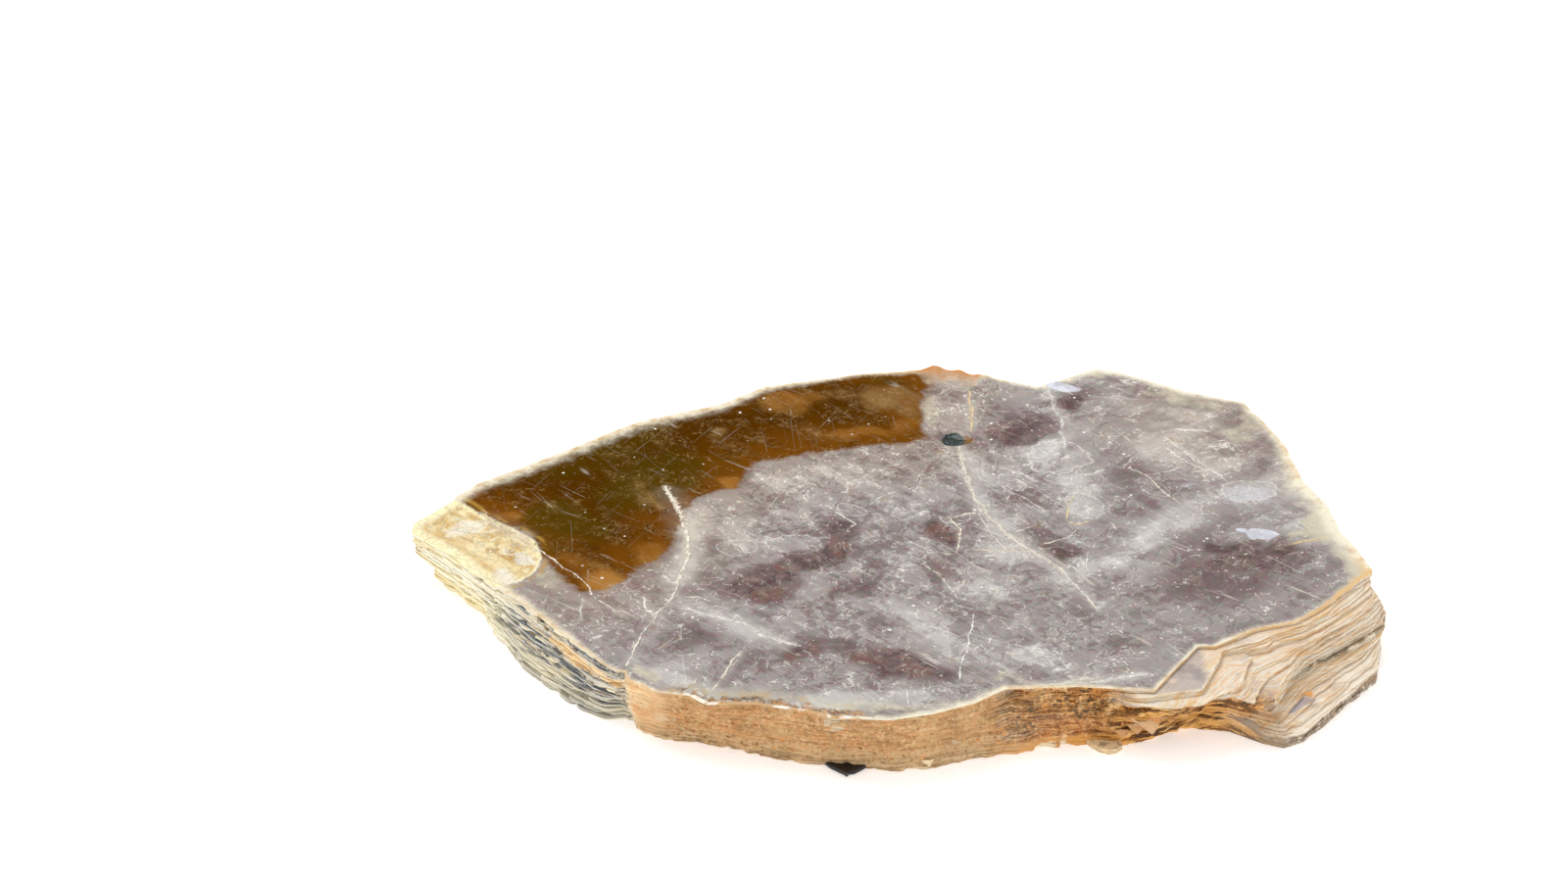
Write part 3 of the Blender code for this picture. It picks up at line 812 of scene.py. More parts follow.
def scattered(spacing, wander, seed):
    """Points on a grid over the book's plan, each shifted a little."""
    pick = np.random.default_rng(seed)
    x, y = np.meshgrid(np.arange(-50, 50, spacing), np.arange(-36, 36, spacing))
    shift = pick.uniform(-wander, wander, (2, *x.shape)) * spacing
    return (x + shift[0]).ravel(), (y + shift[1]).ravel()


def inside_ring(x, y, ring_x, ring_y, margin):
    """Which points lie inside a ring of the stack, by at least a margin."""
    angles = np.degrees(np.arctan2(y, x))
    order = np.argsort(np.degrees(directions))
    around = np.degrees(directions)[order]
    limit = np.interp(angles, around, np.hypot(ring_x, ring_y)[order], period=360)
    return np.hypot(x, y) < limit - margin


def sheet_over(ring_x, ring_y, x, y):
    """Triangles over a ring and the points inside it, which are counted on from the ring's."""
    plan = [Vector(place) for place in (*zip(ring_x, ring_y), *zip(x, y))]
    made = geometry.delaunay_2d_cdt(plan, [], [list(range(len(ring_x)))], 1, 1e-7)
    order = [found[0] for found in made[3]]
    return [tuple(order[corner] for corner in face) for face in made[2]]


def rim_gap(x, y, ring_x, ring_y, step):
    """How far points lie from a ring, measured to every so-manieth point of it."""
    gap = np.full(len(x), 1e9)
    for px, py in zip(ring_x[::step], ring_y[::step]):
        gap = np.minimum(gap, np.hypot(x - px, y - py))
    return gap


# Where a sheaf's texture lies: its edge, the fan over its hidden side, and its broad face.
BAND_BOX, FAN_BOX, BAND_ROWS = (0.27, 0.0, 1.0, 0.15), (0.005, 0.005, 0.25, 0.14), 3


def plan_uv(x, y):
    """Texture coordinates of a broad face, laid out as its plan."""
    return np.stack([0.005 + 0.99 * (x + 49) / 98, 0.155 + 0.84 * (y + 35) / 70], -1)


def second_look(piece, look, faces):
    """Gives a slice of a piece's faces a second material."""
    piece.data.materials.append(look)
    slots = np.zeros(len(piece.data.polygons), np.int32)
    slots[faces] = 1
    piece.data.polygons.foreach_set("material_index", slots)


def foot_material():
    """The face that parted from the rock: dull, clay-stained, streaked cream and brown."""
    recipe = Recipe("clay_stained_face", Specular_IOR_Level=0.2, Coat_Roughness=0.3)
    coats, grain = recipe.coats, recipe.grain
    point = recipe.place()
    patches = grain(point, 9.0, 4.0, 0.6)
    blots = grain(point, 2.4, 4.0, 0.6)
    crumbs = grain(point, 0.5, 4.0, 0.65)
    streaks = grain(point * (1.0, 0.25, 1.0), 1.6, 3.0, 0.6, 0.4)
    edge = recipe.stored("rim")
    roughness = 0.55 + patches.ramp(0.48, 0.62) * 0.3
    coat = patches.ramp(0.56, 0.44) * 0.35
    height = crumbs * 0.12 + streaks * 0.10 + blots * 0.15
    colour = coats(
        (186, 168, 146),
        ((158, 142, 130), streaks.ramp(0.42, 0.60)),
        ((196, 150, 100), patches.ramp(0.50, 0.66)),
        ((132, 92, 56), (patches + blots * 0.6).ramp(0.88, 1.0) * 0.8),
        ((226, 208, 176), blots.ramp(0.58, 0.70) * 0.7),
        ((48, 40, 36), crumbs.ramp(0.66, 0.74) * blots.ramp(0.46, 0.36)),
        ((206, 166, 118), edge.ramp(3.2, 0.6) * patches.ramp(0.36, 0.52)),
    )
    return recipe.finish(colour, roughness, coat, height, 0.6)


foot_rings = stack_rings([hidden_ring(SHEAVES - 1)] + sheaf_rings(SHEAVES - 1))
x, y, z = foot_rings[:3]
z[-1] = 0.0
inner_x, inner_y = scattered(FOOT_GRID, FOOT_WANDER, FOOT_SEED)
kept = inside_ring(inner_x, inner_y, x[-1], y[-1], FOOT_MARGIN)
inner_x, inner_y = inner_x[kept], inner_y[kept]
rise = FOOT_RELIEF * (0.5 + 0.5 * rough(inner_x, inner_y, 11.0, 6.0))
for step_path in FOOT_STEPS:
    rise = rise + FOOT_STEP_RISE * ease(-0.2, 0.2, gap_to_path(inner_x, inner_y, step_path)[0])
margin = rim_gap(inner_x, inner_y, x[-1], y[-1], 6)
inner_z = np.clip(rise, 0, None) * ease(0.3, 3.0, margin)
cap = [tuple(reversed(face)) for face in sheet_over(x[-1], y[-1], inner_x, inner_y)]
in_rings, inside = to_frame(x.ravel(), y.ravel(), z.ravel()), to_frame(inner_x, inner_y, inner_z)
points = np.concatenate([in_rings, inside, hub(z[0])])
faces = fan_faces(0, len(points) - 1, True) + band_faces(len(x))
faces += [tuple(corner + x.size - COLUMNS for corner in face) for face in cap]
flat = plan_uv(np.concatenate([x[-1], inner_x]), np.concatenate([y[-1], inner_y]))
corner_uv = fan_uv(x[0], y[0], FAN_BOX, True) + band_uv(x, y, z, BAND_BOX, BAND_ROWS)
corner_uv += [flat[corner] for face in cap for corner in face]
under_sheets = make_piece("under_sheets", points, faces, corner_uv, edge_look)
second_look(under_sheets, foot_material(), slice(-len(cap), None))
set_attribute(under_sheets.data, "rim", np.concatenate([np.zeros(x.size), margin, np.zeros(1)]))
store_weather(under_sheets, foot_rings, len(inner_x) + 1)
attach(under_sheets, "root")

# ---------------------------------------------------------------------------------------------
# The top sheaf and its cleavage face. The sheets are clear lilac-grey muscovite, clouded where
# air has crept in between them, and crossed by cracks, scratches and specks. Their lilac-grey is
# partly their own colour and partly a painted whitish sheen, the reflection of the white
# surroundings. At the back left the sheets' own amber shows where that sheen is left out: real
# colour under painted shade. A broken corner at the left tip shows a lower, honey-coloured sheet.
# ---------------------------------------------------------------------------------------------
FACE_GRID, FACE_WANDER, FACE_SEED = 0.44, 0.32, 8  # spacing of its points, and how they are strewn
FACE_MARGIN, CRACK_MARGIN = 1.45, 1.25  # how far they and the cracks stay from the rim
RIM_LADDER = (0.25, 0.5, 0.8, 1.15)  # extra rings of points just inside the rim

# The amber patch at the back left: the sheets' own amber colour, where the painted sheen is left
# out as painted shade.
AMBER = [
    (5.4, 38), (5, 32), (3.6, 26), (3.4, 19.8), (1.5, 18.2), (-3, 18.3), (-9, 16.5), (-14, 14.8),
    (-15, 12.5), (-15.5, 10), (-17.5, 9.5), (-19.5, 8), (-21, 5), (-21.5, 0), (-23, -3.5),
    (-26, -6.5), (-28.5, -9.3), (-31.5, -9.5), (-33.5, -5.5), (-35, -2), (-36.5, 1.5), (-39, 3.5),
    (-46, 9), (-44, 16), (-30, 28), (-14, 36), (5.4, 38),
]
# Blotches on the face: middle, half-width and half-depth, turn in degrees, strength.
PLUM = [
    (-13, -8, 6, 4.5, 50, 1), (-8, -3, 5, 3, 40, 1.1), (-5.5, 1, 3.5, 2, 30, 0.7),
    (-19, -18, 4.5, 3.5, 0, 0.6), (0, -23, 9, 3.5, -10, 0.8), (-8, -20, 6, 3, 0, 0.7),
    (32, -7.5, 11, 6.5, 16, 0.65), (35.5, -4.5, 7, 4, 16, 1), (33, -1.5, 3.5, 1.5, 10, 1),
    (17, -3, 3, 2.2, -40, 0.9), (14.5, 0.5, 2, 3, 30, 0.5), (13, 7, 2, 3.5, 35, 0.5),
    (18.5, 27, 3.5, 2.2, 20, 1), (13.8, 21.8, 4.5, 3.5, 20, 0.7), (25.5, 6.5, 4, 2.4, -40, 0.6),
    (13.5, 20.5, 2.6, 3.4, 0, 1), (4, 0, 3.2, 2.6, -30, 0.9), (5, -6, 4, 2.2, -35, 0.6),
    (26, 12, 6, 3.5, -40, 0.45), (23, 4, 3.5, 2.5, -50, 0.55), (-29, -14, 4, 3, -50, 0.35),
    (40, -13, 3.5, 2, 30, 0.4), (22, -20, 4, 3, 0, 0.4), (14, -12, 4, 2.5, 20, 0.3),
    (12, 24, 4, 5, 0, 0.4), (25, 24, 5, 2, -30, 0.15), (-4, -9, 5, 2.5, 40, 0.6),
]
HAZE = [
    (-10, 12.5, 7, 3.5, 10, 0.6), (-4, 13.5, 5, 3, 0, 0.5), (-1, 4.5, 4, 2.5, 0, 0.5),
    (16, 15.5, 4.5, 5, 20, 0.8), (18.5, 9.5, 3.5, 3, 0, 0.7), (19, 5.5, 2.2, 3, 0, 0.7),
    (27, 18.5, 5.5, 3, 15, 0.6), (33.5, 13.5, 3.5, 3.5, -40, 0.7), (30.5, 6.5, 4.5, 2.5, 45, 0.55),
    (27, 0.5, 6.5, 2, 35, 0.7), (21, -4, 4.5, 2, 40, 0.5), (8, -10, 4.5, 3, -30, 0.6),
    (11, -2, 3, 5, 25, 0.6), (-3, -28.5, 11, 3.5, 3, 0.9), (12.5, -22, 4, 3, -40, 0.6),
    (-20.5, -2, 1.8, 7, 0, 0.6), (-16.5, 3, 3, 5, 10, 0.4), (-15.5, -14.5, 6, 1.3, -20, 0.5),
    (-22, -23.5, 4.5, 4, 0, 0.7), (0.5, -12, 2, 4, 30, 0.3), (22, 30.5, 3.5, 1.8, -30, 0.6),
    (8.5, 11, 1.5, 7, 6, 0.5), (32, 23.5, 6, 3.5, -40, 0.8), (36.5, 5, 3.5, 3, 0, 0.4),
    (18, -25.8, 6, 1.6, 6, 0.6), (3, -17, 9, 1, -42, 0.4), (38, -4, 3, 3, 0, 0.2),
    (6, 26, 2.5, 4, 0, 0.5), (40.5, 0.5, 2.5, 4, -10, 0.7), (26, -15, 5, 2, 25, 0.3),
    (-38.2, -6.6, 2.6, 1.8, -35, 0.9), (-42.5, 2.5, 2.2, 2.4, 0, 0.8),
    (-37, -3, 1.4, 2.4, 20, 0.9), (-30, -13.5, 6, 3, -50, 0.35), (25, 26, 5, 3, -35, 0.6),
    (30, 18, 8, 5, -35, 0.7),
]
CREAM = [
    (-3, -30.5, 13, 1.8, 3, 0.6), (8.6, -26.6, 2.5, 1, 25, 0.5), (-24.5, -24, 2, 3, 30, 0.7),
    (42.5, 2, 1.8, 6, 12, 0.8), (44, -5, 1.5, 3.5, 15, 0.7), (22, 32.5, 3, 1.5, -30, 0.8),
    (31, 28, 6, 1.6, -35, 0.6), (36, 20.5, 2.6, 3, 30, 0.7), (37.5, 23.5, 1.4, 4.5, 20, 0.6),
    (41, -1.2, 2.6, 0.7, 20, 0.9), (40, 15, 1.4, 4, 10, 0.5), (14, -27, 8, 1, 0, 0.6),
    (4.8, 24.5, 1.4, 6, 0, 0.7), (-20.8, 1, 1, 6, 0, 0.8), (-34, -7, 1.8, 2.5, 20, 0.5),
    (-17.5, -27, 2.5, 1.5, 0, 0.5),
]
TAN = [
    (-1, 28.5, 4, 3.5, 0, 0.9), (2.5, 26.5, 2.5, 5, 0, 0.7), (-6.5, 29, 3, 2, 0, 0.4),
    (-23, 8.5, 2.5, 4, 30, 0.35), (-20, 12.5, 3, 3, 0, 0.25), (-17, 20.5, 1.2, 1.6, 0, 0.5),
]
GOLD = [
    (-10.5, 28, 4.5, 3, 20, 0.8), (-3.5, 20, 6, 1.8, 0, 0.7), (-28.5, -7.5, 4.5, 2.8, -30, 1.15),
    (-24.5, -3, 2.5, 4, 20, 0.7), (-16.5, 11.5, 2, 2, 0, 0.9), (1.5, 21.5, 2.5, 2.5, 0, 0.6),
    (-31.5, -4.5, 2, 4, 40, 0.5), (-8, 22, 3, 3, 0, 0.3), (-38.5, -1.5, 1.8, 4.5, 30, 1),
    (-45.5, 3, 1.2, 2.5, 0, 0.6), (-39, 5.5, 3, 1.5, -40, 0.8),
]
OLIVE = [
    (-24, 12, 6, 10, -35, 1), (-33, 4, 7, 5, -30, 1), (-18, 15, 5, 4, 0, 0.6),
    (-34.5, -1, 3, 4, 30, 0.7), (-1, 32, 4, 2, 0, 0.6), (-30, 18, 12, 6, 35, 0.8),
]
# Flakes of cloudy mica with a clear outline: middle, half-width and half-depth, turn in degrees.
FLAKES = [
    (16.9, 15.6, 3.3, 3.2, 15), (19.1, 5.8, 1.9, 2.7, 10), (1, -4.2, 1.7, 1, -10),
    (2.7, -8.4, 0.6, 1.1, 10), (-10.1, -0.9, 3, 1.9, -10), (12.2, -21.4, 2, 1, 10),
    (20.9, -25.5, 3, 0.6, 5), (35.8, 8.4, 2.8, 2, 0), (-4.3, 5.4, 1.6, 1, -30),
    (12, 10.8, 1.3, 1.8, 30), (-15.6, -1.4, 2, 1.4, 0), (26.6, 9, 1.2, 1.6, 20),
]
# Smoky rays, where the sheets are bruised: the path, half-width and strength.
RAYS = [
    ([(-3.2, -10.6), (2.1, -16.4), (9.1, -26)], 1.5, 0.8),
    ([(-22.6, -10.6), (-17, -13.6), (-12, -18.2), (-7, -20.2)], 1.1, 0.8),
    ([(7.2, 17.5), (9.2, 6), (13.6, -2.6), (16.9, -7.6), (19.6, -12.6)], 1.5, 0.75),
    ([(17, -8), (24, -0.6), (31, 5.4), (40, 10.6)], 2.3, 0.7),
    ([(17, -10.4), (9, -17.6), (4, -20)], 1.6, 0.5),
    ([(15.4, -12), (12, -24)], 1, 0.35),
    ([(-21, 6), (-19.8, 1), (-20.2, -4), (-21.8, -9.5)], 1.2, 0.9),
    ([(-21.8, -9), (-26, -24)], 0.8, 0.5),
    ([(-38, -3), (-30, -11), (-24, -14)], 0.9, 0.4),
    ([(8, 9), (17, 1), (25, -8)], 1, 0.35),
    ([(16.6, 31), (18, 20), (16, 14)], 1, 0.6),
    ([(20, 22), (31, 12), (37, 8)], 1.2, 0.4),
]
WHITE_FLECKS = [(36.3, 0, 1.65, 1.1, -4), (18.2, 30.4, 2, 0.9, -28), (34.3, 0.8, 0.8, 0.35, -25)]
PALE_FLECKS = [(35.4, 7.6, 3, 1.9, 0), (29.6, 9.7, 0.8, 0.5, 30), (1.2, -14, 0.7, 0.45, -20)]

# Cracks and streaks: the path, its half-width, strength, and warmth from white to orange.
STREAKS = [
    ([(7, 18), (7.3, 12.5), (8.2, 7.5), (9.5, 3.5), (11, 1), (13.5, -2.8), (16, -6), (16.8, -8.2)],
     0.3, 1, 0.3),
    ([(6.6, 17), (7.9, 9), (8.6, 4), (9.4, 0.5), (11.2, -2.6)], 0.16, 0.5, 0.3),
    ([(13.5, -3), (15.5, -5.2), (17.7, -10), (19.3, -14)], 0.16, 0.65, 0.3),
    ([(9.3, 4.6), (7.4, 4.4), (5.5, 3.7), (6.4, 1.4), (6.5, -1), (5.8, -3.3)], 0.14, 0.8, 0.4),
    ([(5.8, -3.3), (3.6, -2.6), (1.2, -0.6)], 0.12, 0.5, 0.3),
    ([(7.4, -2.3), (10, -2.7), (13.8, -3)], 0.22, 0.6, 0.5),
    ([(-23, 11), (-21.6, 6.5), (-20.9, 2.5), (-20.4, -2), (-20.7, -5), (-21.5, -8.2)], 0.42, 0.95,
     0.35),
    ([(-22.8, -6.4), (-21.7, -7.8), (-20.9, -8.6)], 0.3, 0.9, 0.1),
    ([(-21.4, -8), (-22, -11), (-24.5, -17), (-26.2, -23.8)], 0.13, 0.85, 0.3),
    ([(-24.6, -10), (-24.4, -12), (-23.4, -13.6), (-22.4, -12.4)], 0.25, 0.7, 0.1),
    ([(-21.5, -12.3), (-18, -13.8), (-15, -15.3), (-12.5, -18), (-9.5, -19.8)], 0.3, 0.55, 0.1),
    ([(-15, -20), (-16.5, -24), (-17.7, -27.6)], 0.16, 0.95, 0.4),
    ([(8.3, 30), (8.5, 26), (8.3, 20.6)], 0.2, 0.85, 0.95),
    ([(16.5, 31), (17, 27), (17.7, 22), (17.6, 17)], 0.26, 0.35, 0),
    ([(28.6, 18.6), (30.4, 15.5), (32.6, 12.2), (34, 10)], 0.24, 0.6, 0.1),
    ([(27.6, 17.6), (29.6, 14.9), (32.2, 11.9)], 0.14, 0.5, 0.1),
    ([(7.2, -14), (6.4, -20), (5.4, -26.2)], 0.07, 0.9, 0),
    ([(8.7, -18.4), (8.2, -19.6)], 0.22, 1, 0),
    ([(12, -27.2), (17, -26.6), (19, -26), (23.4, -24.9)], 0.28, 0.6, 0.1),
    ([(15.4, -26.4), (18, -25.6), (20.4, -25.3)], 0.1, 0.5, 0.1),
    ([(24, 13.6), (25.7, 11.4), (27.4, 8), (28.6, 6)], 0.11, 0.8, 0.4),
    ([(26, 11.8), (27.8, 12.4), (29.6, 13.4)], 0.1, 0.7, 0.1),
    ([(23.6, 13.8), (25.2, 16.2), (27.8, 17.4)], 0.1, 0.5, 0),
    ([(28.8, 20.9), (31, 21), (33.2, 20.3)], 0.22, 0.5, 0.1),
    ([(18.2, 8.4), (17.4, 6.2), (17.2, 4), (16.8, 2.8)], 0.12, 0.8, 0.9),
    ([(16.8, 2.8), (18.4, 2.2), (19.6, 3)], 0.16, 0.8, 0.9),
    ([(14.2, -1.6), (15.8, -0.8), (17.2, -0.2), (18.6, 1.6)], 0.1, 0.7, 0.3),
    ([(17.8, 10.4), (18.4, 11.8), (20.4, 12.2), (21.8, 13.2)], 0.16, 0.7, 0),
    ([(10.6, 10), (13, 7.6), (15.4, 4.4)], 0.12, 0.4, 0),
    ([(12, 11.6), (14.4, 9.4), (17, 5.6)], 0.12, 0.4, 0),
    ([(10.4, 14.4), (12.8, 12.4), (15, 10.4)], 0.2, 0.5, 0),
    ([(21.4, 2.4), (22.2, 0.8)], 0.12, 0.9, 0.1),
    ([(25, 4), (26.4, 2)], 0.08, 0.6, 0.1),
    ([(19, -3), (18.8, -6.4)], 0.08, 0.5, 0),
    ([(-40.6, 4.8), (-37, 0.6), (-33.5, -3.5), (-30.5, -7.5), (-29.6, -10), (-27.2, -13.1),
      (-26.6, -13), (-25.4, -14.3)], 0.12, 0.95, 0.35),
    ([(-41.4, 5.8), (-38.2, 2.6), (-35.8, -0.2)], 0.35, 0.7, 0.85),
    ([(-28, -17), (-28.9, -17.4), (-29.6, -18.2)], 0.16, 0.9, 0.1),
    ([(-30.3, -10), (-30.6, -13), (-30.4, -15)], 0.14, 0.4, 0.1),
    ([(3, -10.5), (7.5, -13.5), (12, -16)], 0.1, 0.25, 0),
    ([(2.2, -4.6), (4.2, -7), (6, -11.6)], 0.14, 0.45, 0.2),
    ([(-13.5, 0), (-15.6, -0.8), (-15, -2.4), (-13.2, -2.4)], 0.1, 0.5, 0.2),
    ([(-7.2, 6.6), (-5.4, 5), (-3.8, 2.8), (-4.6, 1.8)], 0.14, 0.6, 0.1),
    ([(-17.2, 4.2), (-15.4, 4.4), (-12, 2.4)], 0.1, 0.6, 0.4),
    ([(-3.5, 18), (-2, 16.4)], 0.12, 0.6, 0.2),
    ([(10, -19.4), (13.2, -20.6), (14.2, -23.4), (15.6, -24.8)], 0.12, 0.4, 0),
    ([(0.4, -27), (1, -30.4)], 0.1, 0.6, 0.1),
    ([(-10.4, -27.8), (-11, -29.4)], 0.12, 0.6, 0.2),
    ([(-0.6, 8.4), (-2.8, 6.2)], 0.1, 0.4, 0.1),
    ([(38.4, -2), (40.2, -1.5), (42.6, -0.8)], 0.3, 0.8, 1),
    ([(-22, -12), (-23.2, -13), (-25, -12.6), (-25.6, -11.4)], 0.12, 0.8, 0.1),
    ([(-20.8, -10.4), (-19.2, -10.6), (-18, -11.6)], 0.14, 0.8, 0.2),
]
CRACK_HALF = 0.13
CRACK_SPACING = 0.22
CRACK_CLEARANCE = CRACK_HALF * 2.6
PIT = (6.4, 19.5, 1.25, 1.45)
PIT_NOTCH = (7.75, 19.3, 0.65, 0.9)
PIT_DEPTH = 0.45
GROOVE = [
    (7.7, 17.1), (8.2, 12.5), (9.1, 6.3), (10.7, 2.8), (12.5, -1), (15.2, -4.2), (17.3, -8.4),
]
GROOVE_DEPTH = 0.14

# The pale border of the face by direction in degrees: (direction, width in millimetres).
BORDER = [
    (0, 1.2), (12, 1.5), (26, 0.5), (36, 0.4), (45, 0.6), (60, 0.6), (64, 0.4), (71, 0.4),
    (74, 1.6), (82, 1.8), (85, 0.4), (100, 0.4), (130, 0.9), (165, 0.9), (175, 0.6), (188, 0.9),
    (196, 0.6), (219, 0.3), (232, 0.3), (262, 0.5), (280, 0.6), (306, 0.4), (312, 0.3), (322, 0.2),
    (330, 0.45), (338, 0.25), (348, 0.5), (352, 1.1),
]
LOOSE_LIP = [(0, 0), (229, 0), (234, 1), (262, 1), (266, 0), (360, 0)]
WARM_RIM = [
    (0, 0.3), (12, 0.4), (18, 0.5), (30, 0.6), (36, 0.5), (42, 0.3), (60, 0.2), (71, 0.6), (74, 2),
    (84, 2), (87, 0.8), (95, 0.6), (176, 0.5), (200, 0.6), (224, 0.8), (236, 0.2), (280, 0.3),
    (290, 0.7), (303, 0.6), (312, 0.6), (325, 0.4), (336, 0.8), (342, 1.2), (350, 1), (354, 0.6),
]


def spot_ratio(x, y, spot):
    """How far out a point lies in a turned ellipse: 0 in its middle, 1 on its outline."""
    turn = math.radians(spot[4]) if len(spot) > 4 else 0.0
    along = (x - spot[0]) * math.cos(turn) + (y - spot[1]) * math.sin(turn)
    across = (y - spot[1]) * math.cos(turn) - (x - spot[0]) * math.sin(turn)
    return np.hypot(along / spot[2], across / spot[3])


def blotches(x, y, spots):
    """The strength of the strongest blotch at each point."""
    shares = [spot[5] * (1 - ease(0.35, 1.15, spot_ratio(x, y, spot))) for spot in spots]
    return np.max(shares, axis=0)


def streak_fields(x, y):
    """For the nearest broad streak: side and distance in half-widths, strength, and warmth."""
    best = np.full(len(x), 40.0)
    strength, warmth = np.zeros(len(x)), np.zeros(len(x))
    for path, half, power, warm in STREAKS:
        gap, along = gap_to_path(x, y, path)
        length = sum(math.dist(a, b) for a, b in zip(path, path[1:]))
        taper = ease(0, 1.2, along) * ease(0, 1.2, length - along)
        ratio = gap / half
        nearer = np.abs(ratio) < np.abs(best)
        best = np.where(nearer, ratio, best)
        faded = power * taper * (1 - ease(1.6, 3.0, np.abs(gap))) * ease(0.10, 0.22, half)
        strength = np.where(nearer, faded, strength)
        warmth = np.where(nearer, warm, warmth)
    return np.stack([best, strength, warmth], -1)


def crack_ladder(path, half, power, warm):
    """Points along a crack and down both its sides: x, y, 1 on the crack, strength, warmth."""
    corners = np.array(path)
    passed = lengths_along(corners)
    places = np.linspace(0, passed[-1], max(int(passed[-1] / CRACK_SPACING), 3))
    x, y = np.interp(places, passed, corners[:, 0]), np.interp(places, passed, corners[:, 1])
    bend = 0.35 * rough(x, y, 40.0, 2.2) + 0.11 * rough(x, y, 44.0, 0.6)
    swing = 0.35 * rough(x, y, 50.0, 2.2) + 0.11 * rough(x, y, 54.0, 0.6)
    x, y = x + bend, y + swing
    run_x, run_y = np.gradient(x), np.gradient(y)
    run = np.hypot(run_x, run_y)
    wide = CRACK_HALF * (0.9 + 1.3 * half / 0.26) * (1 + 0.5 * rough(x, y, 61.0, 1.3))
    side_x, side_y = -run_y / run * wide, run_x / run * wide
    taper = ease(0, 0.8, places) * ease(0, 0.8, passed[-1] - places)
    rows = [(x + side_x * side, y + side_y * side, np.full(len(x), 1.0 - abs(side)),
             power * taper, np.full(len(x), warm)) for side in (-1, 0, 1)]
    return np.concatenate([np.stack(row, -1) for row in rows])


def inner_relief(x, y, gap):
    """Height of the face over face_height, away from its rim."""
    groove = gap_to_path(x, y, GROOVE)[0]
    pit = ease(1.1, 0.7, spot_ratio(x, y, PIT)).clip(0, 1)
    notch = ease(1.1, 0.7, spot_ratio(x, y, PIT_NOTCH)).clip(0, 1)
    rise = 0.03 * rough(x, y, 8.0, 5.0) + 0.012 * rough(x, y, 2.0, 1.4)
    rise = rise - GROOVE_DEPTH * np.exp(-(groove / 0.4) ** 2)
    rise = rise - PIT_DEPTH * np.maximum(pit, 0.8 * notch)
    rise = rise + 0.16 * np.exp(-((np.hypot((x - 6.5) / 1.9, (y - 19.4) / 1.9) - 1) / 0.2) ** 2)
    angles = np.arctan2(y, x)
    lip = share_at(LOOSE_LIP, angles)
    split = np.exp(-((gap - 0.75 - 0.3 * rough(x, y, 3.0, 2.0)) / 0.2) ** 2)
    rise = rise - 0.22 * lip * split + 0.10 * lip * ease(0.7, 0.3, gap)
    return rise


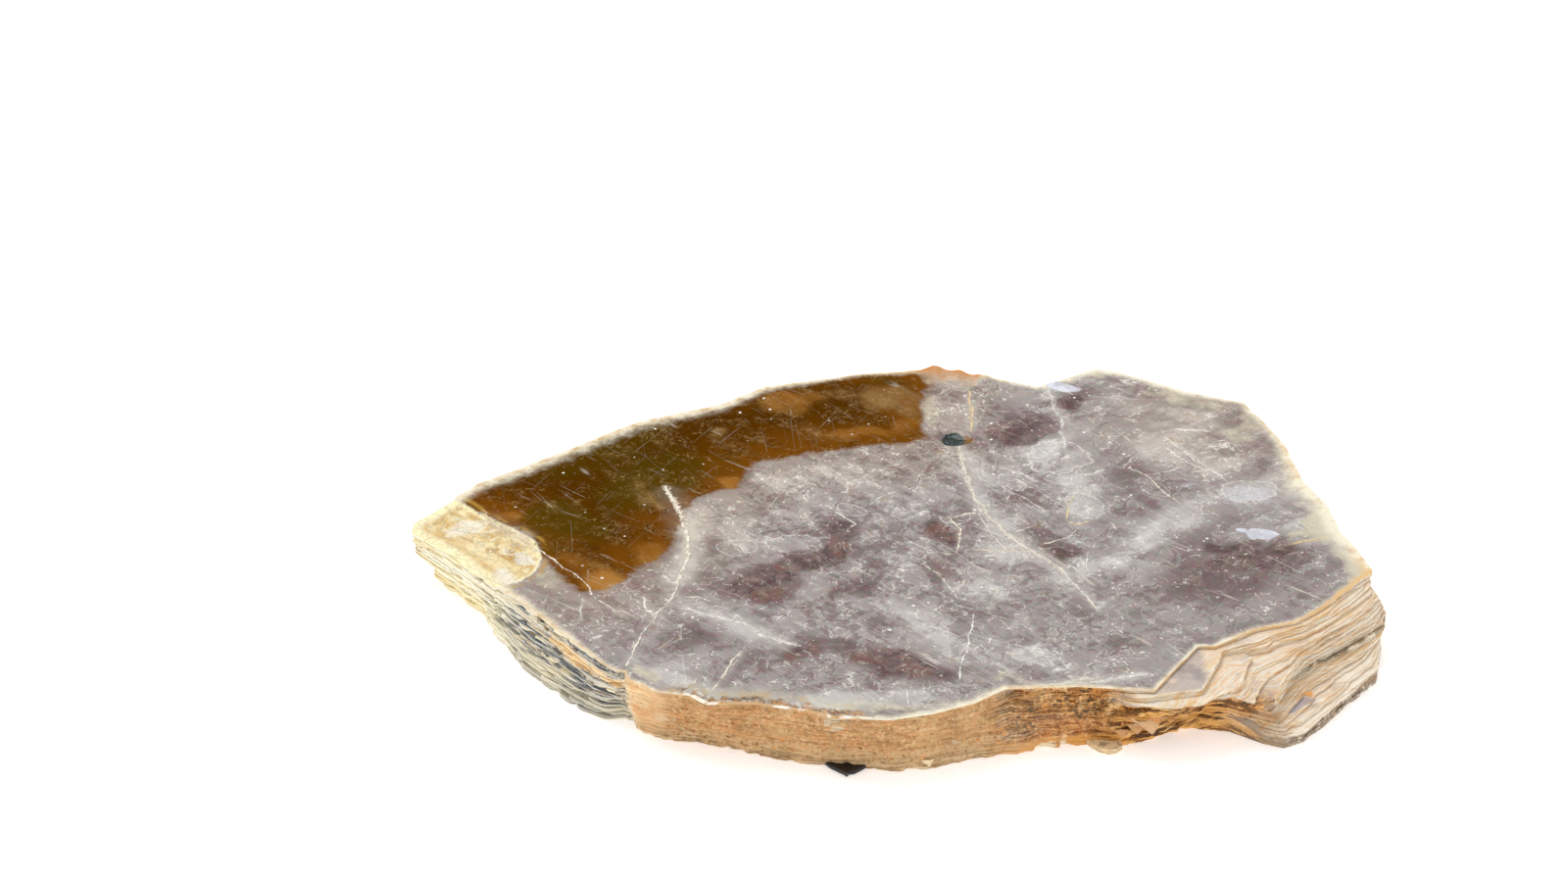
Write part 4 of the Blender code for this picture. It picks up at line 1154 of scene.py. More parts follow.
def face_material():
    """The cleavage face, from what its points store and from finer grain."""
    recipe = Recipe("lilac_mica_painted_sheen", Specular_IOR_Level=0.0, Coat_Roughness=0.10, Coat_IOR=1.5)
    coats, mixed, grain = recipe.coats, recipe.mixed, recipe.grain
    point = recipe.place()
    fine = grain(point, 0.30, 3.0, 0.65)
    mid = grain(point, 1.5, 5.0, 0.65)
    broad = grain(point, 6.0, 3.0, 0.6)
    shreds = grain(point, 0.45, 4.0, 0.75)

    def streaked(angle, long, wide, detail, distortion=0.0, shift=0.0):
        turned = recipe.node("VectorRotate", {"rotation_type": "Z_AXIS"},
                             {"Vector": point + (shift, shift, shift),
                              "Angle": math.radians(angle)})
        return grain(turned * (1 / long, 1 / wide, 1 / wide), 1.0, detail, 0.65, distortion)

    falling = streaked(48.0, 7.0, 2.4, 5.0, 0.5)
    rising = streaked(-38.0, 7.0, 2.4, 5.0, 0.5, 12.0)
    to_right = point.parts()[0].ramp(6.0, 20.0)
    wisps = falling + (rising - falling) * to_right
    brushed = streaked(46.0, 9.0, 0.30, 3.0, 0.3, 60.0)
    swirl = recipe.node("TexNoise", {}, {"Vector": point, "Scale": 1 / 2.5, "Detail": 3.0},
                        "Color")
    bent = point + (swirl - (0.5, 0.5, 0.5)) * 5.0
    sheets = grain(bent, 5.5, 2.0, 0.5)
    plates = sheets.ramp(0.430, 0.442) - sheets.ramp(0.482, 0.494) + sheets.ramp(0.535, 0.547)
    plate_rims = sheets.band(0.436, 0.008).most(sheets.band(0.488, 0.008))
    plate_rims = plate_rims.most(sheets.band(0.541, 0.008))

    plum, haze, cream = recipe.stored("tints", "Vector").parts()
    amber_gap, tan, gold = recipe.stored("amber_and_shade", "Vector").parts()
    olive, pit, notch = recipe.stored("marks", "Vector").parts()
    gap, border, lip = recipe.stored("border", "Vector").parts()
    tip_gap, white, pale_fleck = recipe.stored("flecks", "Vector").parts()
    side, power, warmth = recipe.stored("streak", "Vector").parts()
    crack, crack_power, crack_warmth = recipe.stored("crack", "Vector").parts()
    warm_rim = recipe.stored("warm_rim")
    flake, ray, taupe = recipe.stored("bruises", "Vector").parts()

    px, py, _ = point.parts()
    # Clear lilac-grey with wine-coloured depths, clouded where air lies between the sheets. The
    # lilac-grey and its pale veil are partly the sheets' own colour and partly a painted whitish
    # sheen, the reflection of the white surroundings, laid into the base colour.
    rest = abs(px - 2.0).ramp(14.0, 26.0)
    unrest = wisps.sway(0.55) + mid.sway(0.24 - rest * 0.14) + broad.sway(0.36)
    unrest = unrest + fine.sway(0.24 - rest * 0.06) + brushed.sway(0.36) + plates.sway(0.14)
    unrest = unrest * (1.0 - rest * 0.3)
    scurf = grain(bent, 1.7, 4.0, 0.62)
    off_middle = abs(px - 4.0) / 22.0 + abs(py - 2.0) / 18.0 + broad.sway(2.0)
    crusty = off_middle.ramp(1.5, 0.8) * 0.8 + 0.1
    islands = scurf.ramp(0.540, 0.556) * mid.ramp(0.42, 0.54) * (1.0 - plum * 0.5) * crusty
    island_rims = scurf.band(0.546, 0.010) * mid.ramp(0.42, 0.52) * (crusty + 0.15)
    clouded = haze + wisps.sway(1.3) + mid.sway(0.4) + fine.sway(0.3)
    veil = haze * 0.14 + clouded.ramp(0.40, 0.80) * 0.20
    depths = plum * 0.20 + (plum + mid.sway(0.9) + brushed.sway(0.5)).ramp(0.38, 0.72) * 0.20
    bruised = ray * (0.12 + brushed * 0.28)
    flaked = (flake + mid.sway(0.7) + fine.sway(0.25)).ramp(1.0, 0.94)
    tone_and_sheen = 0.385 + veil - depths + unrest + bruised + flaked * (0.03 + fine * 0.16)
    tone_and_sheen = tone_and_sheen + islands * (fine * 0.9 - 0.30)
    redness = grain(bent, 2.6, 3.0, 0.6)
    chroma = grain(point, 0.8, 3.0, 0.7)
    tinge = mixed((255, 232, 250), (236, 255, 242), chroma.ramp(0.40, 0.60))
    lace = grain(bent, 1.1, 6.0, 0.75).ramp(0.50, 0.60)
    frost = lace * (haze * 0.9 + wisps.sway(1.6)).ramp(0.0, 0.8)
    warmed = taupe * (0.6 + mid.sway(1.2))
    outlines = grain(point, 3.6, 3.0, 0.55, 0.6)
    threads = outlines.band(0.47, 0.013).most(outlines.band(0.57, 0.011)) * mid.ramp(0.51, 0.58)
    threads = threads.most(plate_rims * fine.ramp(0.40, 0.54) * wisps.ramp(0.48, 0.58))
    webs = recipe.node("TexVoronoi", {"feature": "DISTANCE_TO_EDGE"},
                       {"Vector": bent, "Scale": 1 / 2.6},
                       "Distance").ramp(0.050, 0.015)
    threads = threads.most(webs * mid.ramp(0.53, 0.61) * (haze * 0.7 + wisps).ramp(0.50, 0.80))
    threads = threads.most(island_rims * fine.ramp(0.42, 0.56) * 0.8)
    squiggles = grain(point + (swirl - (0.5, 0.5, 0.5)) * 2.0, 1.9, 1.0, 0.5)
    squiggles = squiggles.band(0.44, 0.012).most(squiggles.band(0.56, 0.012))
    squiggles = squiggles * shreds.ramp(0.46, 0.54)
    threads = threads.most(squiggles * redness.ramp(0.55, 0.60) * (crusty * 0.8 + 0.1))
    flake_rims = (flake + mid.sway(0.7) + fine.sway(0.25)).band(0.97, 0.08)
    threads = threads.most(flake_rims * fine.ramp(0.38, 0.52) * 0.9)
    ripples = (grain(bent, 3.4, 1.0, 0.4) * 150.0).work("SINE").ramp(0.2, 0.9)
    cloudy_cream = (cream + mid.sway(1.1) + fine.sway(0.3)).ramp(0.20, 1.0)
    # Painted sheen: the lighter lilac-grey steps stand for the face's reflection of the white
    # surroundings as well as its own tones.
    colour = coats(
        (90, 71, 70),
        ((124, 110, 108), tone_and_sheen.ramp(-0.15, 0.24)),
        ((157, 149, 146), tone_and_sheen.ramp(0.18, 0.48)),
        ((187, 182, 178), tone_and_sheen.ramp(0.45, 0.76)),
        ((214, 212, 208), tone_and_sheen.ramp(0.74, 1.10)),
        ((126, 88, 74), (0.44 - tone_and_sheen).ramp(-0.1, 0.5) * redness.ramp(0.50, 0.60)
         * (0.6 - to_right * 0.45)),
        ((160, 132, 102), mid.ramp(0.56, 0.70) * broad.ramp(0.46, 0.58) * 0.45),
        (tinge, (0.60 - tone_and_sheen).ramp(-0.1, 0.5) * 0.7 + 0.15, "MULTIPLY"),
        ((228, 226, 222), frost * (0.10 + crusty * 0.26)),
        ((255, 236, 210), warmed.least(1.0) * 0.85, "MULTIPLY"),
        ((176, 146, 136), ripples * plum * mid.ramp(0.44, 0.56) * 0.35),
        ((236, 233, 226), threads * (0.80 - plum * 0.45)),
        ((214, 205, 176), cloudy_cream * 0.75),
    )

    # The amber patch: the sheets' own amber colour, with the painted whitish sheen left out as
    # painted shade, as if a plate lying over the back left corner shaded it. Olive and dark
    # inside, more orange towards its border.
    inside = (amber_gap + mid.sway(2.4) + fine.sway(0.8)).ramp(-0.4, 0.7)
    deep = (amber_gap + broad.sway(8.0)).ramp(1.0, 9.0)
    amber_and_shade = coats(
        (112, 66, 10),
        ((78, 44, 0), deep),
        ((66, 36, 2), (wisps + fine.sway(0.4)).ramp(0.46, 0.66) * 0.7),
        ((76, 58, 6), (olive + wisps.sway(0.8)).ramp(0.2, 1.1) * 0.8),
        ((172, 118, 54), (gold + wisps.sway(1.1) + fine.sway(0.6)).ramp(0.1, 1.35) * 0.9),
        ((150, 116, 70), (tan + wisps.sway(1.3) + mid.sway(0.6)).ramp(0.05, 1.4) * 0.9),
        ((184, 152, 100), (threads * 0.45).most(lace * (wisps - 0.46).most(0.0) * 1.5)),
    )
    colour = mixed(colour, amber_and_shade, inside)

    # The lower sheet at the tip, with a painted highlight along its rim.
    on_tip = (tip_gap + fine.sway(0.3)).ramp(-0.10, 0.10)
    golden_edge = (gap + mid.sway(1.2)).band(1.5, 0.9)
    crackle = recipe.node("TexVoronoi", {"feature": "DISTANCE_TO_EDGE"},
                          {"Vector": point + mid.sway(2.6), "Scale": 1 / 1.3}, "Distance")
    honey = coats(
        (238, 218, 168),
        ((208, 170, 100), wisps.ramp(0.44, 0.60)),
        ((178, 128, 54), (gold + mid.sway(1.4)).ramp(0.4, 1.1) * 0.7),
        ((246, 232, 186), mid.ramp(0.50, 0.58) * 0.8),
        ((196, 146, 66), golden_edge * 0.35),
        ((252, 248, 234), crackle.ramp(0.05, 0.01) * wisps.ramp(0.50, 0.58) * 0.8),
        ((240, 234, 218), (cream + haze + (mid - 0.5)).ramp(0.3, 0.9) * 0.8),
    )
    # Painted highlight: a bright cream-yellow band along the rim of the tip.
    lip_highlight = (gap + mid.sway(1.4)).ramp(1.5, 0.5) * on_tip
    step_line = abs(tip_gap + fine.sway(0.3)).ramp(0.34, 0.05) * mid.ramp(0.34, 0.46)
    ridge = (tip_gap + mid.sway(1.2)).band(-0.8, 0.5) * wisps.ramp(0.40, 0.56)
    colour = coats(
        colour,
        (honey, on_tip),
        ((253, 243, 204), lip_highlight * (0.45 + fine * 0.6).least(1.0)),
        ((186, 146, 66), ridge * 0.75),
        ((250, 238, 192), step_line * 0.95),
    )

    # Scratches and cracks.
    scratches = [(48.0, 0.0, 0.010), (-62.0, 17.0, 0.007), (84.0, 41.0, 0.006),
                 (38.0, 77.0, 0.009),
                 (57.0, 91.0, 0.007)]
    marks = None
    for angle, shift, width in scratches:
        line = streaked(angle, 60.0, 1.7, 0.0, 0.0, shift).band(0.5, width)
        rarity = streaked(angle, 5.0, 1.4, 1.0, 0.0, shift + 5.0).ramp(0.56, 0.62)
        marks = line * rarity if marks is None else marks.most(line * rarity)
    wander = (grain(point, 0.8, 4.0, 0.65) - 0.5) * 3.4
    line = abs(side + wander).ramp(1.5, 0.2)
    frayed = (line + shreds.sway(3.0)).ramp(0.50, 0.95) * line.ramp(0.0, 0.3)
    crack_col = mixed((238, 234, 224), (222, 184, 120), warmth)
    smoke = abs(side + wander).ramp(5.5, 0.5) * power
    frail = grain(point, 2.0, 2.0, 0.5).ramp(0.36, 0.52)
    core = (crack + fine.sway(0.8) + mid.sway(0.6)).ramp(0.66, 0.90) * (0.25 + frail * 0.75)
    tatters = (crack + shreds.sway(4.2) + mid.sway(1.4)).ramp(0.55, 0.90)
    tatters = tatters * crack.ramp(0.0, 0.25) * 0.85
    core = core.most(tatters) * (crack_power * 1.25).least(1.0)
    core_col = mixed((252, 251, 244), (234, 200, 132), crack_warmth * 0.8)
    colour = coats(
        colour,
        ((224, 216, 204), marks * (0.5 - inside * 0.2)),
        (crack_col, frayed * power * 0.95),
        ((204, 200, 193), smoke * 0.42 * (1.0 - inside * 0.7)),
        (core_col, core),
    )

    # Specks and dust.
    def specks(spacing, size, share, shift):
        cells = {"Vector": point + (shift, shift, 0.0), "Scale": 1 / spacing}
        away = recipe.node("TexVoronoi", {}, cells, "Distance")
        pick = recipe.node("TexVoronoi", {}, cells, "Color").parts()[0]
        return away.ramp(size, size * 0.5) * pick.ramp(1 - share, 1.02 - share)

    dust = (specks(0.9, 0.13, 0.40, 3.0)
            * (1.0 - inside * 0.7)).most(specks(1.9, 0.095, 0.45, 9.0))
    flakes_of_dust = specks(2.3, 0.085, 0.5, 21.0)
    grit = specks(1.5, 0.07, 0.3, 50.0)
    colour = coats(
        colour,
        ((236, 232, 224), dust * (0.35 + fine * 0.8) * 0.8),
        ((250, 248, 242), flakes_of_dust),
        ((206, 142, 80), grit * broad.ramp(0.44, 0.56) * 0.7),
    )

    # The border and the loose lip at the front.
    blush = grain(point + (31.0, 0.0, 0.0), 3.0, 4.0, 0.6)
    worn = (gap + mid.sway(2.4) * border - border * 0.9).ramp(border * 0.8, border * -0.9)
    glow = (gap + mid.sway(3.4) * border).ramp(border * 2.6, border * 0.4) * (1.0 - on_tip * 0.8)
    rim_col = coats(
        (246, 238, 214),
        ((230, 188, 124), (warm_rim + mid.sway(1.8)).ramp(0.35, 0.9)),
        ((204, 134, 58), (warm_rim + mid.sway(1.8)).ramp(1.1, 1.7)),
        ((255, 244, 196), on_tip),
    )
    haze_lip = (gap + mid.sway(4.0)).ramp(4.5, 0.6) * lip
    stained = (gap + mid.sway(3.0)).band(1.7, 1.0) * lip * blush.ramp(0.47, 0.57)
    ragged = (gap + mid.sway(2.4)).ramp(0.85, 0.55) * lip
    torn = blush.ramp(0.50, 0.45)
    slit = (gap + mid.sway(2.4)).band(1.0, 0.55) * lip * chroma.ramp(0.42, 0.50)
    slit_col = mixed((200, 140, 68), (98, 50, 16), (fine * 0.5 + blush * 0.6).ramp(0.50, 0.58))
    colour = coats(
        colour,
        ((236, 229, 208), glow * (0.30 + fine * 0.40)),
        (rim_col, worn * 0.9),
        ((212, 210, 194), haze_lip * 0.55),
        ((196, 164, 112), stained * 0.6),
        (mixed((206, 164, 114), (246, 240, 226), torn), ragged * 0.95),
        (slit_col, slit * 0.9),
    )

    # White flecks, and the dark crystal in its pit.
    fleck = (white + fine.sway(0.7)).ramp(1.0, 0.85)
    fleck_col = mixed((220, 222, 232), (196, 196, 206), mid.ramp(0.45, 0.6))
    lacy = (pale_fleck + mid.sway(1.6)).ramp(1.0, 0.6) * (0.35 + fine.ramp(0.42, 0.6) * 0.5)
    socket_col = mixed((146, 104, 46), (96, 62, 22), fine.ramp(0.42, 0.6))
    crystal = mixed((40, 50, 48), (104, 120, 120), grain(point, 0.35, 3.0, 0.7).ramp(0.52, 0.62))
    colour = coats(
        colour,
        (fleck_col, fleck),
        ((208, 208, 214), lacy * 0.85),
        (socket_col, (notch + fine.sway(0.3)).ramp(1.1, 0.95)),
        (crystal, (pit + fine.sway(0.3)).ramp(1.0, 0.9)),
    )

    roughness = 0.40 + haze * 0.10 + worn * 0.25 + fleck * 0.2
    gloss = 0.50 + mid.sway(0.4) - inside * 0.55 - plum * 0.2 - worn * 0.3
    height = mid * 0.10 + fine * 0.03 + frayed * power * 0.10 + core * 0.12 + marks * 0.04
    height = height + threads * 0.04 + crackle.ramp(0.08, 0.0) * on_tip * 0.1 - slit * 0.25
    return recipe.finish(colour, roughness, gloss.most(0.0), height, 0.5)


top_rings = stack_rings(sheaf_rings(0))
x, y, z = top_rings[:3]
inner_x, inner_y = scattered(FACE_GRID, FACE_WANDER, FACE_SEED)
kept = inside_ring(inner_x, inner_y, x[0], y[0], FACE_MARGIN)
inner_x, inner_y = inner_x[kept], inner_y[kept]
cracks = np.concatenate([crack_ladder(*streak) for streak in STREAKS])
cracks = cracks[inside_ring(cracks[:, 0], cracks[:, 1], x[0], y[0], CRACK_MARGIN)]
for near_x, near_y in cracks[cracks[:, 2] > 0.5][:, :2]:
    clear = np.hypot(inner_x - near_x, inner_y - near_y) > CRACK_CLEARANCE
    inner_x, inner_y = inner_x[clear], inner_y[clear]
loose = len(inner_x)
inner_x, inner_y = np.concatenate([inner_x, cracks[:, 0]]), np.concatenate([inner_y, cracks[:, 1]])
for inset in RIM_LADDER:
    reach_in = np.hypot(x[0], y[0]) - inset
    inner_x = np.concatenate([inner_x, reach_in * ray_x])
    inner_y = np.concatenate([inner_y, reach_in * ray_y])
margin = rim_gap(inner_x, inner_y, x[0], y[0], 2)
relief = inner_relief(inner_x, inner_y, margin) * ease(0.0, 0.3, margin)
inner_z = face_height(inner_x, inner_y) + relief
cap = sheet_over(x[0], y[0], inner_x, inner_y)
order = np.concatenate([np.arange(COLUMNS), x.size + np.arange(len(inner_x))])
in_rings, inside = to_frame(x.ravel(), y.ravel(), z.ravel()), to_frame(inner_x, inner_y, inner_z)
points = np.concatenate([in_rings, inside, hub(z[-1], HUB_SINK)])
faces = [tuple(int(order[corner]) for corner in face) for face in cap]
faces += band_faces(len(x)) + fan_faces(x.size - COLUMNS, len(points) - 1, False)
plan_x, plan_y = np.concatenate([x[0], inner_x]), np.concatenate([y[0], inner_y])
flat = plan_uv(plan_x, plan_y)
corner_uv = [flat[corner] for face in cap for corner in face]
corner_uv += band_uv(x, y, z, BAND_BOX, BAND_ROWS) + fan_uv(x[-1], y[-1], FAN_BOX, False)
top_sheets = make_piece("top_sheets", points, faces, corner_uv, face_material(), 50.0)
second_look(top_sheets, edge_look, slice(len(cap), None))
store_weather(top_sheets, top_rings, len(inner_x) + 1)


def store_on_face(name, *arrays):
    """Stores a triple at each point of the rim and the face, and 0 elsewhere."""
    values = np.zeros((len(points), 3))
    values[order] = np.stack(arrays, -1)
    set_attribute(top_sheets.data, name, values)


def strayed(x, y, *strays):
    """Places shifted by noise: for each stray how far, its lumps' width, and two layers of it."""
    new_x, new_y = x, y
    for far, size, layer_x, layer_y in strays:
        new_x = new_x + far * rough(x, y, layer_x, size)
        new_y = new_y + far * rough(x, y, layer_y, size)
    return new_x, new_y


bent_x, bent_y = strayed(plan_x, plan_y, (0.5, 2.5, 21.0, 33.0), (0.22, 0.9, 4.0, 14.0))
blown_x, blown_y = strayed(plan_x, plan_y, (2.2, 6.0, 70.0, 90.0), (0.8, 2.0, 5.0, 9.0))
plan_gap = np.concatenate([np.zeros(COLUMNS), margin])
plan_angle = np.arctan2(plan_y, plan_x)
store_on_face("tints", *[blotches(blown_x, blown_y, spots) for spots in (PLUM, HAZE, CREAM)])
store_on_face("amber_and_shade", -gap_to_path(bent_x, bent_y, AMBER)[0],
              blotches(blown_x, blown_y, TAN), blotches(blown_x, blown_y, GOLD))
store_on_face("marks", blotches(blown_x, blown_y, OLIVE),
              spot_ratio(plan_x, plan_y, PIT), spot_ratio(plan_x, plan_y, PIT_NOTCH))
store_on_face("border", plan_gap, share_at(BORDER, plan_angle), share_at(LOOSE_LIP, plan_angle))
tip = np.where(plan_x < -30, gap_to_path(plan_x, plan_y, TIP_STEP)[0], -9.0)
store_on_face("flecks", tip, *[np.min([spot_ratio(bent_x, bent_y, spot) for spot in spots], 0)
                               for spots in (WHITE_FLECKS, PALE_FLECKS)])
rays = [power * ease(width * 1.6, 0.0, np.abs(gap_to_path(blown_x, blown_y, path)[0]))
        for path, width, power in RAYS]
near_amber = ease(13.0, 0.0, np.abs(gap_to_path(plan_x, plan_y, AMBER)[0])) * (plan_y > -30)
top_right = 0.8 * ease(20.0, 4.0, np.hypot(plan_x - 34, plan_y - 24))
store_on_face("bruises", np.min([spot_ratio(bent_x, bent_y, spot) for spot in FLAKES], 0),
              np.max(rays, 0), np.maximum(near_amber, top_right))
store_on_face("streak", *streak_fields(bent_x, bent_y).T)
crack_marks = np.zeros((len(plan_x), 3))
crack_marks[COLUMNS + loose:COLUMNS + loose + len(cracks)] = cracks[:, 2:]
store_on_face("crack", *crack_marks.T)
warm = np.zeros(len(points))
warm[order] = share_at(WARM_RIM, plan_angle)
set_attribute(top_sheets.data, "warm_rim", warm)
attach(top_sheets, "root")

# ---------------------------------------------------------------------------------------------
# Loose flakes. Scales of mica curl off the rusty front, one stack of pale sheets and one flat
# black piece lie under the foot, and a thread of lint clings to the tip. All hold by clay or by
# static.
# ---------------------------------------------------------------------------------------------
HANGING = [
    (-1.7, 0.45), (-0.6, 0.62), (0.5, 0.55), (1.6, 0.62), (1.2, 0.1), (0.65, -0.9), (0.35, -1.1),
    (-0.1, -0.8), (-0.9, -0.1),
]
# Scales of that outline: middle, size, thickness, tilt and turn in degrees, curl, paleness and
# warmth.
CURLS = [
    ((23.1, -27.75, 3.05), 1, 0.07, 55, 4, 0.1, 0.75, 0.55),
    ((22, -27.55, 2.35), 0.62, 0.07, 50, -8, 0.12, 0.7, 0.7),
    ((23.6, -27.45, 3.75), 0.85, 0.07, 46, 8, 0.08, 0.65, 0.9),
    ((25.1, -26.6, 3.35), 0.7, 0.07, 50, 22, 0.1, 0.5, 0.9),
    ((20.6, -27.5, 1.75), 0.5, 0.08, 48, -4, 0.12, 0.7, 0.8),
    ((38.6, -22.9, 3.1), 0.42, 0.08, 22, 24, 0.45, 0.45, 1),
    ((15.2, -27.75, 0.85), 0.25, 0.1, 70, 20, 0, 1, 0),
    ((2.4, -31.2, 0.95), 0.42, 0.12, 80, 6, 0.1, 0.9, 0.1),
]
CURL_STRIPES = 0.3
RAGGED = 0.06  # how far the corners of a curled scale stray
# Chips on the edge: from and to in degrees, how many, and the least share of the depth.
CHIPS = [(228, 286, 34, 0.55), (284, 318, 80, 0.3), (72, 96, 26, 0.2)]
DEEPEST_CHIP, LOWEST_CHIP = 0.97, 0.35  # a share of the depth, and a height
BLACK_PIECE = [
    (-7.3, -30.2), (-6.8, -30.9), (-6, -31.6), (-5.5, -32), (-5.15, -32.4), (-4.9, -32),
    (-4.4, -31.9), (-3.7, -31.3), (-3.1, -30.7), (-4.2, -29.6), (-6.2, -29.4),
]
TOE_SHEETS = [
    (17.2, -26.4), (17.8, -27.5), (18.6, -28.35), (19.5, -28.75), (20.3, -28.5), (20.8, -27.9),
    (20.8, -27), (20.5, -26), (19, -25.6),
]
LINT = [(-46.75, -0.08, 6.02), (-46.3, 0.4, 6.12), (-45.75, 0.92, 6.04)]
LINT_RADIUS = 0.07
FLAKE_SEED = 21


def scale_material(name, dull):
    """Pale, orange or dark scales and pieces. Their points store paleness, warmth and their
    stripes.
    """
    recipe = Recipe(name, Specular_IOR_Level=0.3, Coat_Roughness=0.2)
    point = recipe.place()
    paleness, warmth, striped = recipe.stored("tint", "Vector").parts()
    mottle = recipe.grain(point, 0.7, 4.0, 0.65)
    stripes = recipe.grain(point * (0.2, 0.2, 1.0), 0.12, 2.0, 0.6)
    colour = recipe.coats(
        (26, 22, 24),
        ((176, 122, 66), paleness.ramp(0.0, 0.4)),
        ((246, 222, 180), (paleness + (mottle - 0.5)).ramp(0.3, 0.9)),
        ((226, 156, 84), (warmth + mottle.sway(1.4)).ramp(0.2, 1.0) * 0.85),
        ((134, 124, 98), stripes.ramp(0.54, 0.62) * striped * 0.7),
    )
    return recipe.finish(colour, dull + mottle * 0.2, 0.5 - mottle * 0.4, mottle * 0.15, 0.5)


def plate(corners, thickness, curl=0.0, layers=1):
    """A thin plate over a flat outline: its points, curled up at the ends, and its faces."""
    corners = np.array(corners)
    middle = corners.mean(axis=0)
    after = np.roll(corners, -1, axis=0)
    edge = np.stack([corners, corners + (after - corners) * 0.5], 1).reshape(-1, 2)
    count = len(edge)
    points, faces = [], []
    levels = np.linspace(thickness / 2, -thickness / 2, layers + 1)
    for level, lift in enumerate(levels):
        shrink = 1 - 0.05 * (level % 2)
        for inset in (shrink, shrink * 0.55):
            x, y = (middle + (edge - middle) * inset).T
            curled = lift + curl * (x - middle[0]) ** 2 - curl * 0.5 * (y - middle[1])
            points.append(np.stack([x, y, curled], -1))
        points.append(np.array([[*middle, lift]]))
    points = np.concatenate(points)
    row = 2 * count + 1
    for start, upward in ((0, True), (layers * row, False)):
        for i in range(count):
            j = (i + 1) % count
            quad = (start + i, start + j, start + count + j, start + count + i)
            tri = (start + count + i, start + count + j, start + 2 * count)
            faces += [quad, tri] if upward else [quad[::-1], tri[::-1]]
    for level in range(layers):
        upper, lower = level * row, (level + 1) * row
        for i in range(count):
            j = (i + 1) % count
            faces.append((upper + j, upper + i, lower + i, lower + j))
    return points, faces


def turned(points, tilt, turn):
    """Points tilted about X, their front edge down, and then turned about Z."""
    t, u = math.radians(tilt), math.radians(turn)
    x, y, z = points.T
    y, z = y * math.cos(t) - z * math.sin(t), y * math.sin(t) + z * math.cos(t)
    return np.stack([x * math.cos(u) - y * math.sin(u), x * math.sin(u) + y * math.cos(u), z], -1)


def joined(plates):
    """Several plates as one: points, faces, and the tint of every point."""
    points, faces, tints, first = [], [], [], 0
    for spots, sides, tint in plates:
        points.append(spots)
        faces += [tuple(corner + first for corner in side) for side in sides]
        tints.append(np.tile(tint, (len(spots), 1)))
        first += len(spots)
    return np.concatenate(points), faces, np.concatenate(tints)


def scale_piece(name, plates, look, crease=30.0):
    """A piece made of plates, with texture coordinates as its plan, riding with the book."""
    points, faces, tints = joined(plates)
    flat = (points[:, :2] - points[:, :2].min(axis=0)) / np.ptp(points[:, :2], axis=0)
    corner_uv = [flat[corner] for face in faces for corner in face]
    piece = make_piece(name, to_frame(*points.T), faces, corner_uv, look, crease)
    set_attribute(piece.data, "tint", tints)
    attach(piece, "root")


dice = random.Random(FLAKE_SEED)


def torn_outline(half_width, half_height, corners=6):
    """A torn chip's outline round 0."""
    angles = sorted(dice.uniform(0, 0.7) + 2 * math.pi * i / corners for i in range(corners))
    far = [dice.uniform(0.75, 1.1) for _ in angles]
    return [(half_width * r * math.cos(a), half_height * r * math.sin(a)) for a,
            r in zip(angles, far)]


curls = []
for middle, size, thickness, tilt, turn, curl, *tint in CURLS:
    shape = [(x * size + dice.uniform(-RAGGED, RAGGED), y * size + dice.uniform(-RAGGED, RAGGED))
             for x, y in HANGING]
    spots, sides = plate(shape, thickness, curl)
    curls.append((turned(spots, tilt, turn) + middle, sides, (*tint, CURL_STRIPES)))
scale_piece("curled_scales", curls, scale_material("curled_mica", 0.5))

chips = []
for start, end, count, least in CHIPS:
    for _ in range(count):
        angle = dice.uniform(start, end)
        column = int(np.argmin(np.abs((degrees - angle + 180) % 360 - 180)))
        share = least + (DEEPEST_CHIP - least) * dice.random() ** 0.7
        row = int(share * (len(stack[0]) - 1))
        x, y, z = (stack[item][row, column] for item in range(3))
        sunk = dice.uniform(0.0, 0.12)
        place = (x - sunk * ray_x[column], y - sunk * ray_y[column], max(z, LOWEST_CHIP))
        wide = 0.12 + 0.26 * dice.random() ** 2
        outline = torn_outline(wide, wide * dice.uniform(0.6, 1.0))
        spots, sides = plate(outline, dice.uniform(0.06, 0.16))
        spots = turned(spots, dice.uniform(10, 80), angle + 90 - 360 + dice.uniform(-30, 30))
        tint = (dice.choice((0.3, 0.55, 0.7, 0.85)), dice.choice((0.5, 0.8, 1.0)), 0.0)
        chips.append((spots + place, sides, tint))
scale_piece("edge_chips", chips, scale_material("chipped_mica", 0.6))

# A flat black piece in three layers under the front of the foot, black all over.
spots, sides = plate(BLACK_PIECE, 0.42, layers=3)
black_piece = (spots + (0, 0, 0.22), sides, (0.0, 0.0, 0.0))
scale_piece("black_piece", [black_piece], scale_material("black_piece_look", 0.25))
spots, sides = plate(TOE_SHEETS, 0.62, layers=7)
toe_sheets = (spots + (0, 0, 0.33), sides, (0.9, 0.1, 1.0))
scale_piece("toe_sheets", [toe_sheets], scale_material("pale_sheets", 0.4))


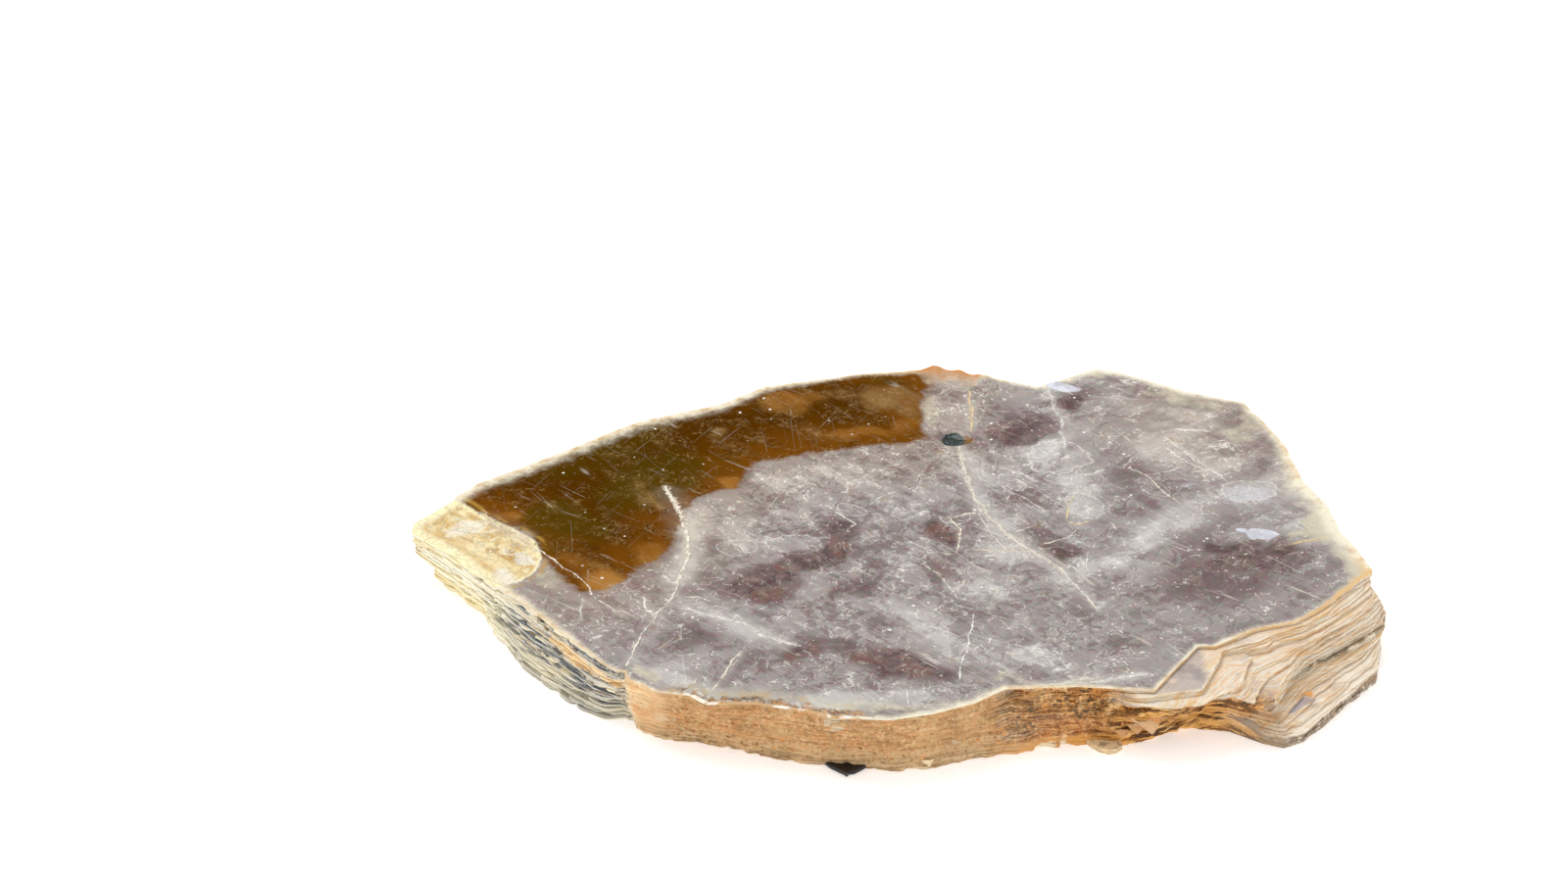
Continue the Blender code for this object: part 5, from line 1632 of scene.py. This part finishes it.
def thread(path, radius, rings=9, sides=6):
    """A thread along a path, pointed at both ends."""
    points, faces = [], []
    for share in np.linspace(0, 1, rings):
        along = share * (len(path) - 1)
        middle = np.array([np.interp(along, range(len(path)), item) for item in zip(*path)])
        thin = radius * max(0.12, math.sin(math.pi * min(max(share, 0.04), 0.96)) ** 0.3)
        for side in range(sides):
            turn = 2 * math.pi * side / sides
            out, up = 0.7 * thin * math.cos(turn), thin * math.sin(turn)
            points.append(middle + (-out, out, up))
    for level in range(rings - 1):
        for side in range(sides):
            a, b = level * sides + side, level * sides + (side + 1) % sides
            faces.append((a, a + sides, b + sides, b))
    faces += [tuple(range(sides)), tuple(reversed(range((rings - 1) * sides, rings * sides)))]
    return np.array(points), faces


lint = (*thread(LINT, LINT_RADIUS), (1.0, 0.0, 0.0))
scale_piece("lint", [lint], scale_material("white_lint", 0.7), 60.0)

# ---------------------------------------------------------------------------------------------
# The stage: a pale paper floor under a tent of white cloth, with a soft lamp over its left back.
# ---------------------------------------------------------------------------------------------
FLOOR_HALF = 3.0  # metres, as are the places and sizes below
FLOOR_DROP = 0.00002  # keeps the paper clear of the book's underside
PAPER_GLOW = 0.42  # the table is lit from below as well
PAPER_TINT = (1.0, 0.955, 0.93, 1.0)
TENT_LIGHT = 0.80
LAMP_PLACE, LAMP_WIDTH, LAMP_POWER, LAMP_TINT = (-0.25, 0.30, 0.75), 0.5, 3.0, (1.0, 0.985, 0.96)
VIEW_PLACE, VIEW_TILT, VIEW_LENS = (-0.010623, -0.368842, 0.230), 60.0, 100.0
SENSOR_WIDTH, NEAREST_SEEN = 36.0, 0.01


def floor_material():
    """Matt white paper."""
    glow = {"Emission_Color": PAPER_TINT, "Emission_Strength": PAPER_GLOW}
    recipe = Recipe("white_paper", Specular_IOR_Level=0.1, **glow)
    fibre = recipe.grain(recipe.place(), 0.8, 3.0, 0.6)
    colour = recipe.mixed((250, 249, 248), (253, 252, 252), fibre.ramp(0.4, 0.6))
    return recipe.finish(colour, 0.9 + fibre * 0.05, fibre * 0.0, fibre * 0.02, 0.3)


def stand(name, data, place=(0.0, 0.0, 0.0), turn=(0.0, 0.0, 0.0)):
    """Adds something to the scene, at a place and turned."""
    thing = bpy.data.objects.new(name, data)
    thing.location, thing.rotation_euler = place, turn
    bpy.context.scene.collection.objects.link(thing)
    return thing


floor_mesh = bpy.data.meshes.new("floor")
corners = [(-1, -1), (1, -1), (1, 1), (-1, 1)]
corners = [(sx * FLOOR_HALF, sy * FLOOR_HALF, -FLOOR_DROP) for sx, sy in corners]
floor_mesh.from_pydata(corners, [], [(0, 1, 2, 3)])
floor_mesh.materials.append(floor_material())
floor = stand("floor", floor_mesh)

world = bpy.data.worlds.new("tent")
bpy.context.scene.world = world
world.use_nodes = True
cloth = world.node_tree.nodes["Background"].inputs
cloth["Color"].default_value = (1.0, 1.0, 1.0, 1.0)
cloth["Strength"].default_value = TENT_LIGHT

lamp = bpy.data.lights.new("soft_lamp", "AREA")
lamp.shape = "DISK"
lamp.size = LAMP_WIDTH
lamp.energy = LAMP_POWER
lamp.color = LAMP_TINT
stand("soft_lamp", lamp, LAMP_PLACE, (-Vector(LAMP_PLACE)).to_track_quat("-Z", "Y").to_euler())

camera = bpy.data.cameras.new("camera")
camera.lens = VIEW_LENS
camera.sensor_width = SENSOR_WIDTH
camera.clip_start = NEAREST_SEEN
viewer = stand("camera", camera, VIEW_PLACE, (math.radians(VIEW_TILT), 0.0, 0.0))
bpy.context.scene.camera = viewer
bpy.context.scene.view_settings.view_transform = "Standard"
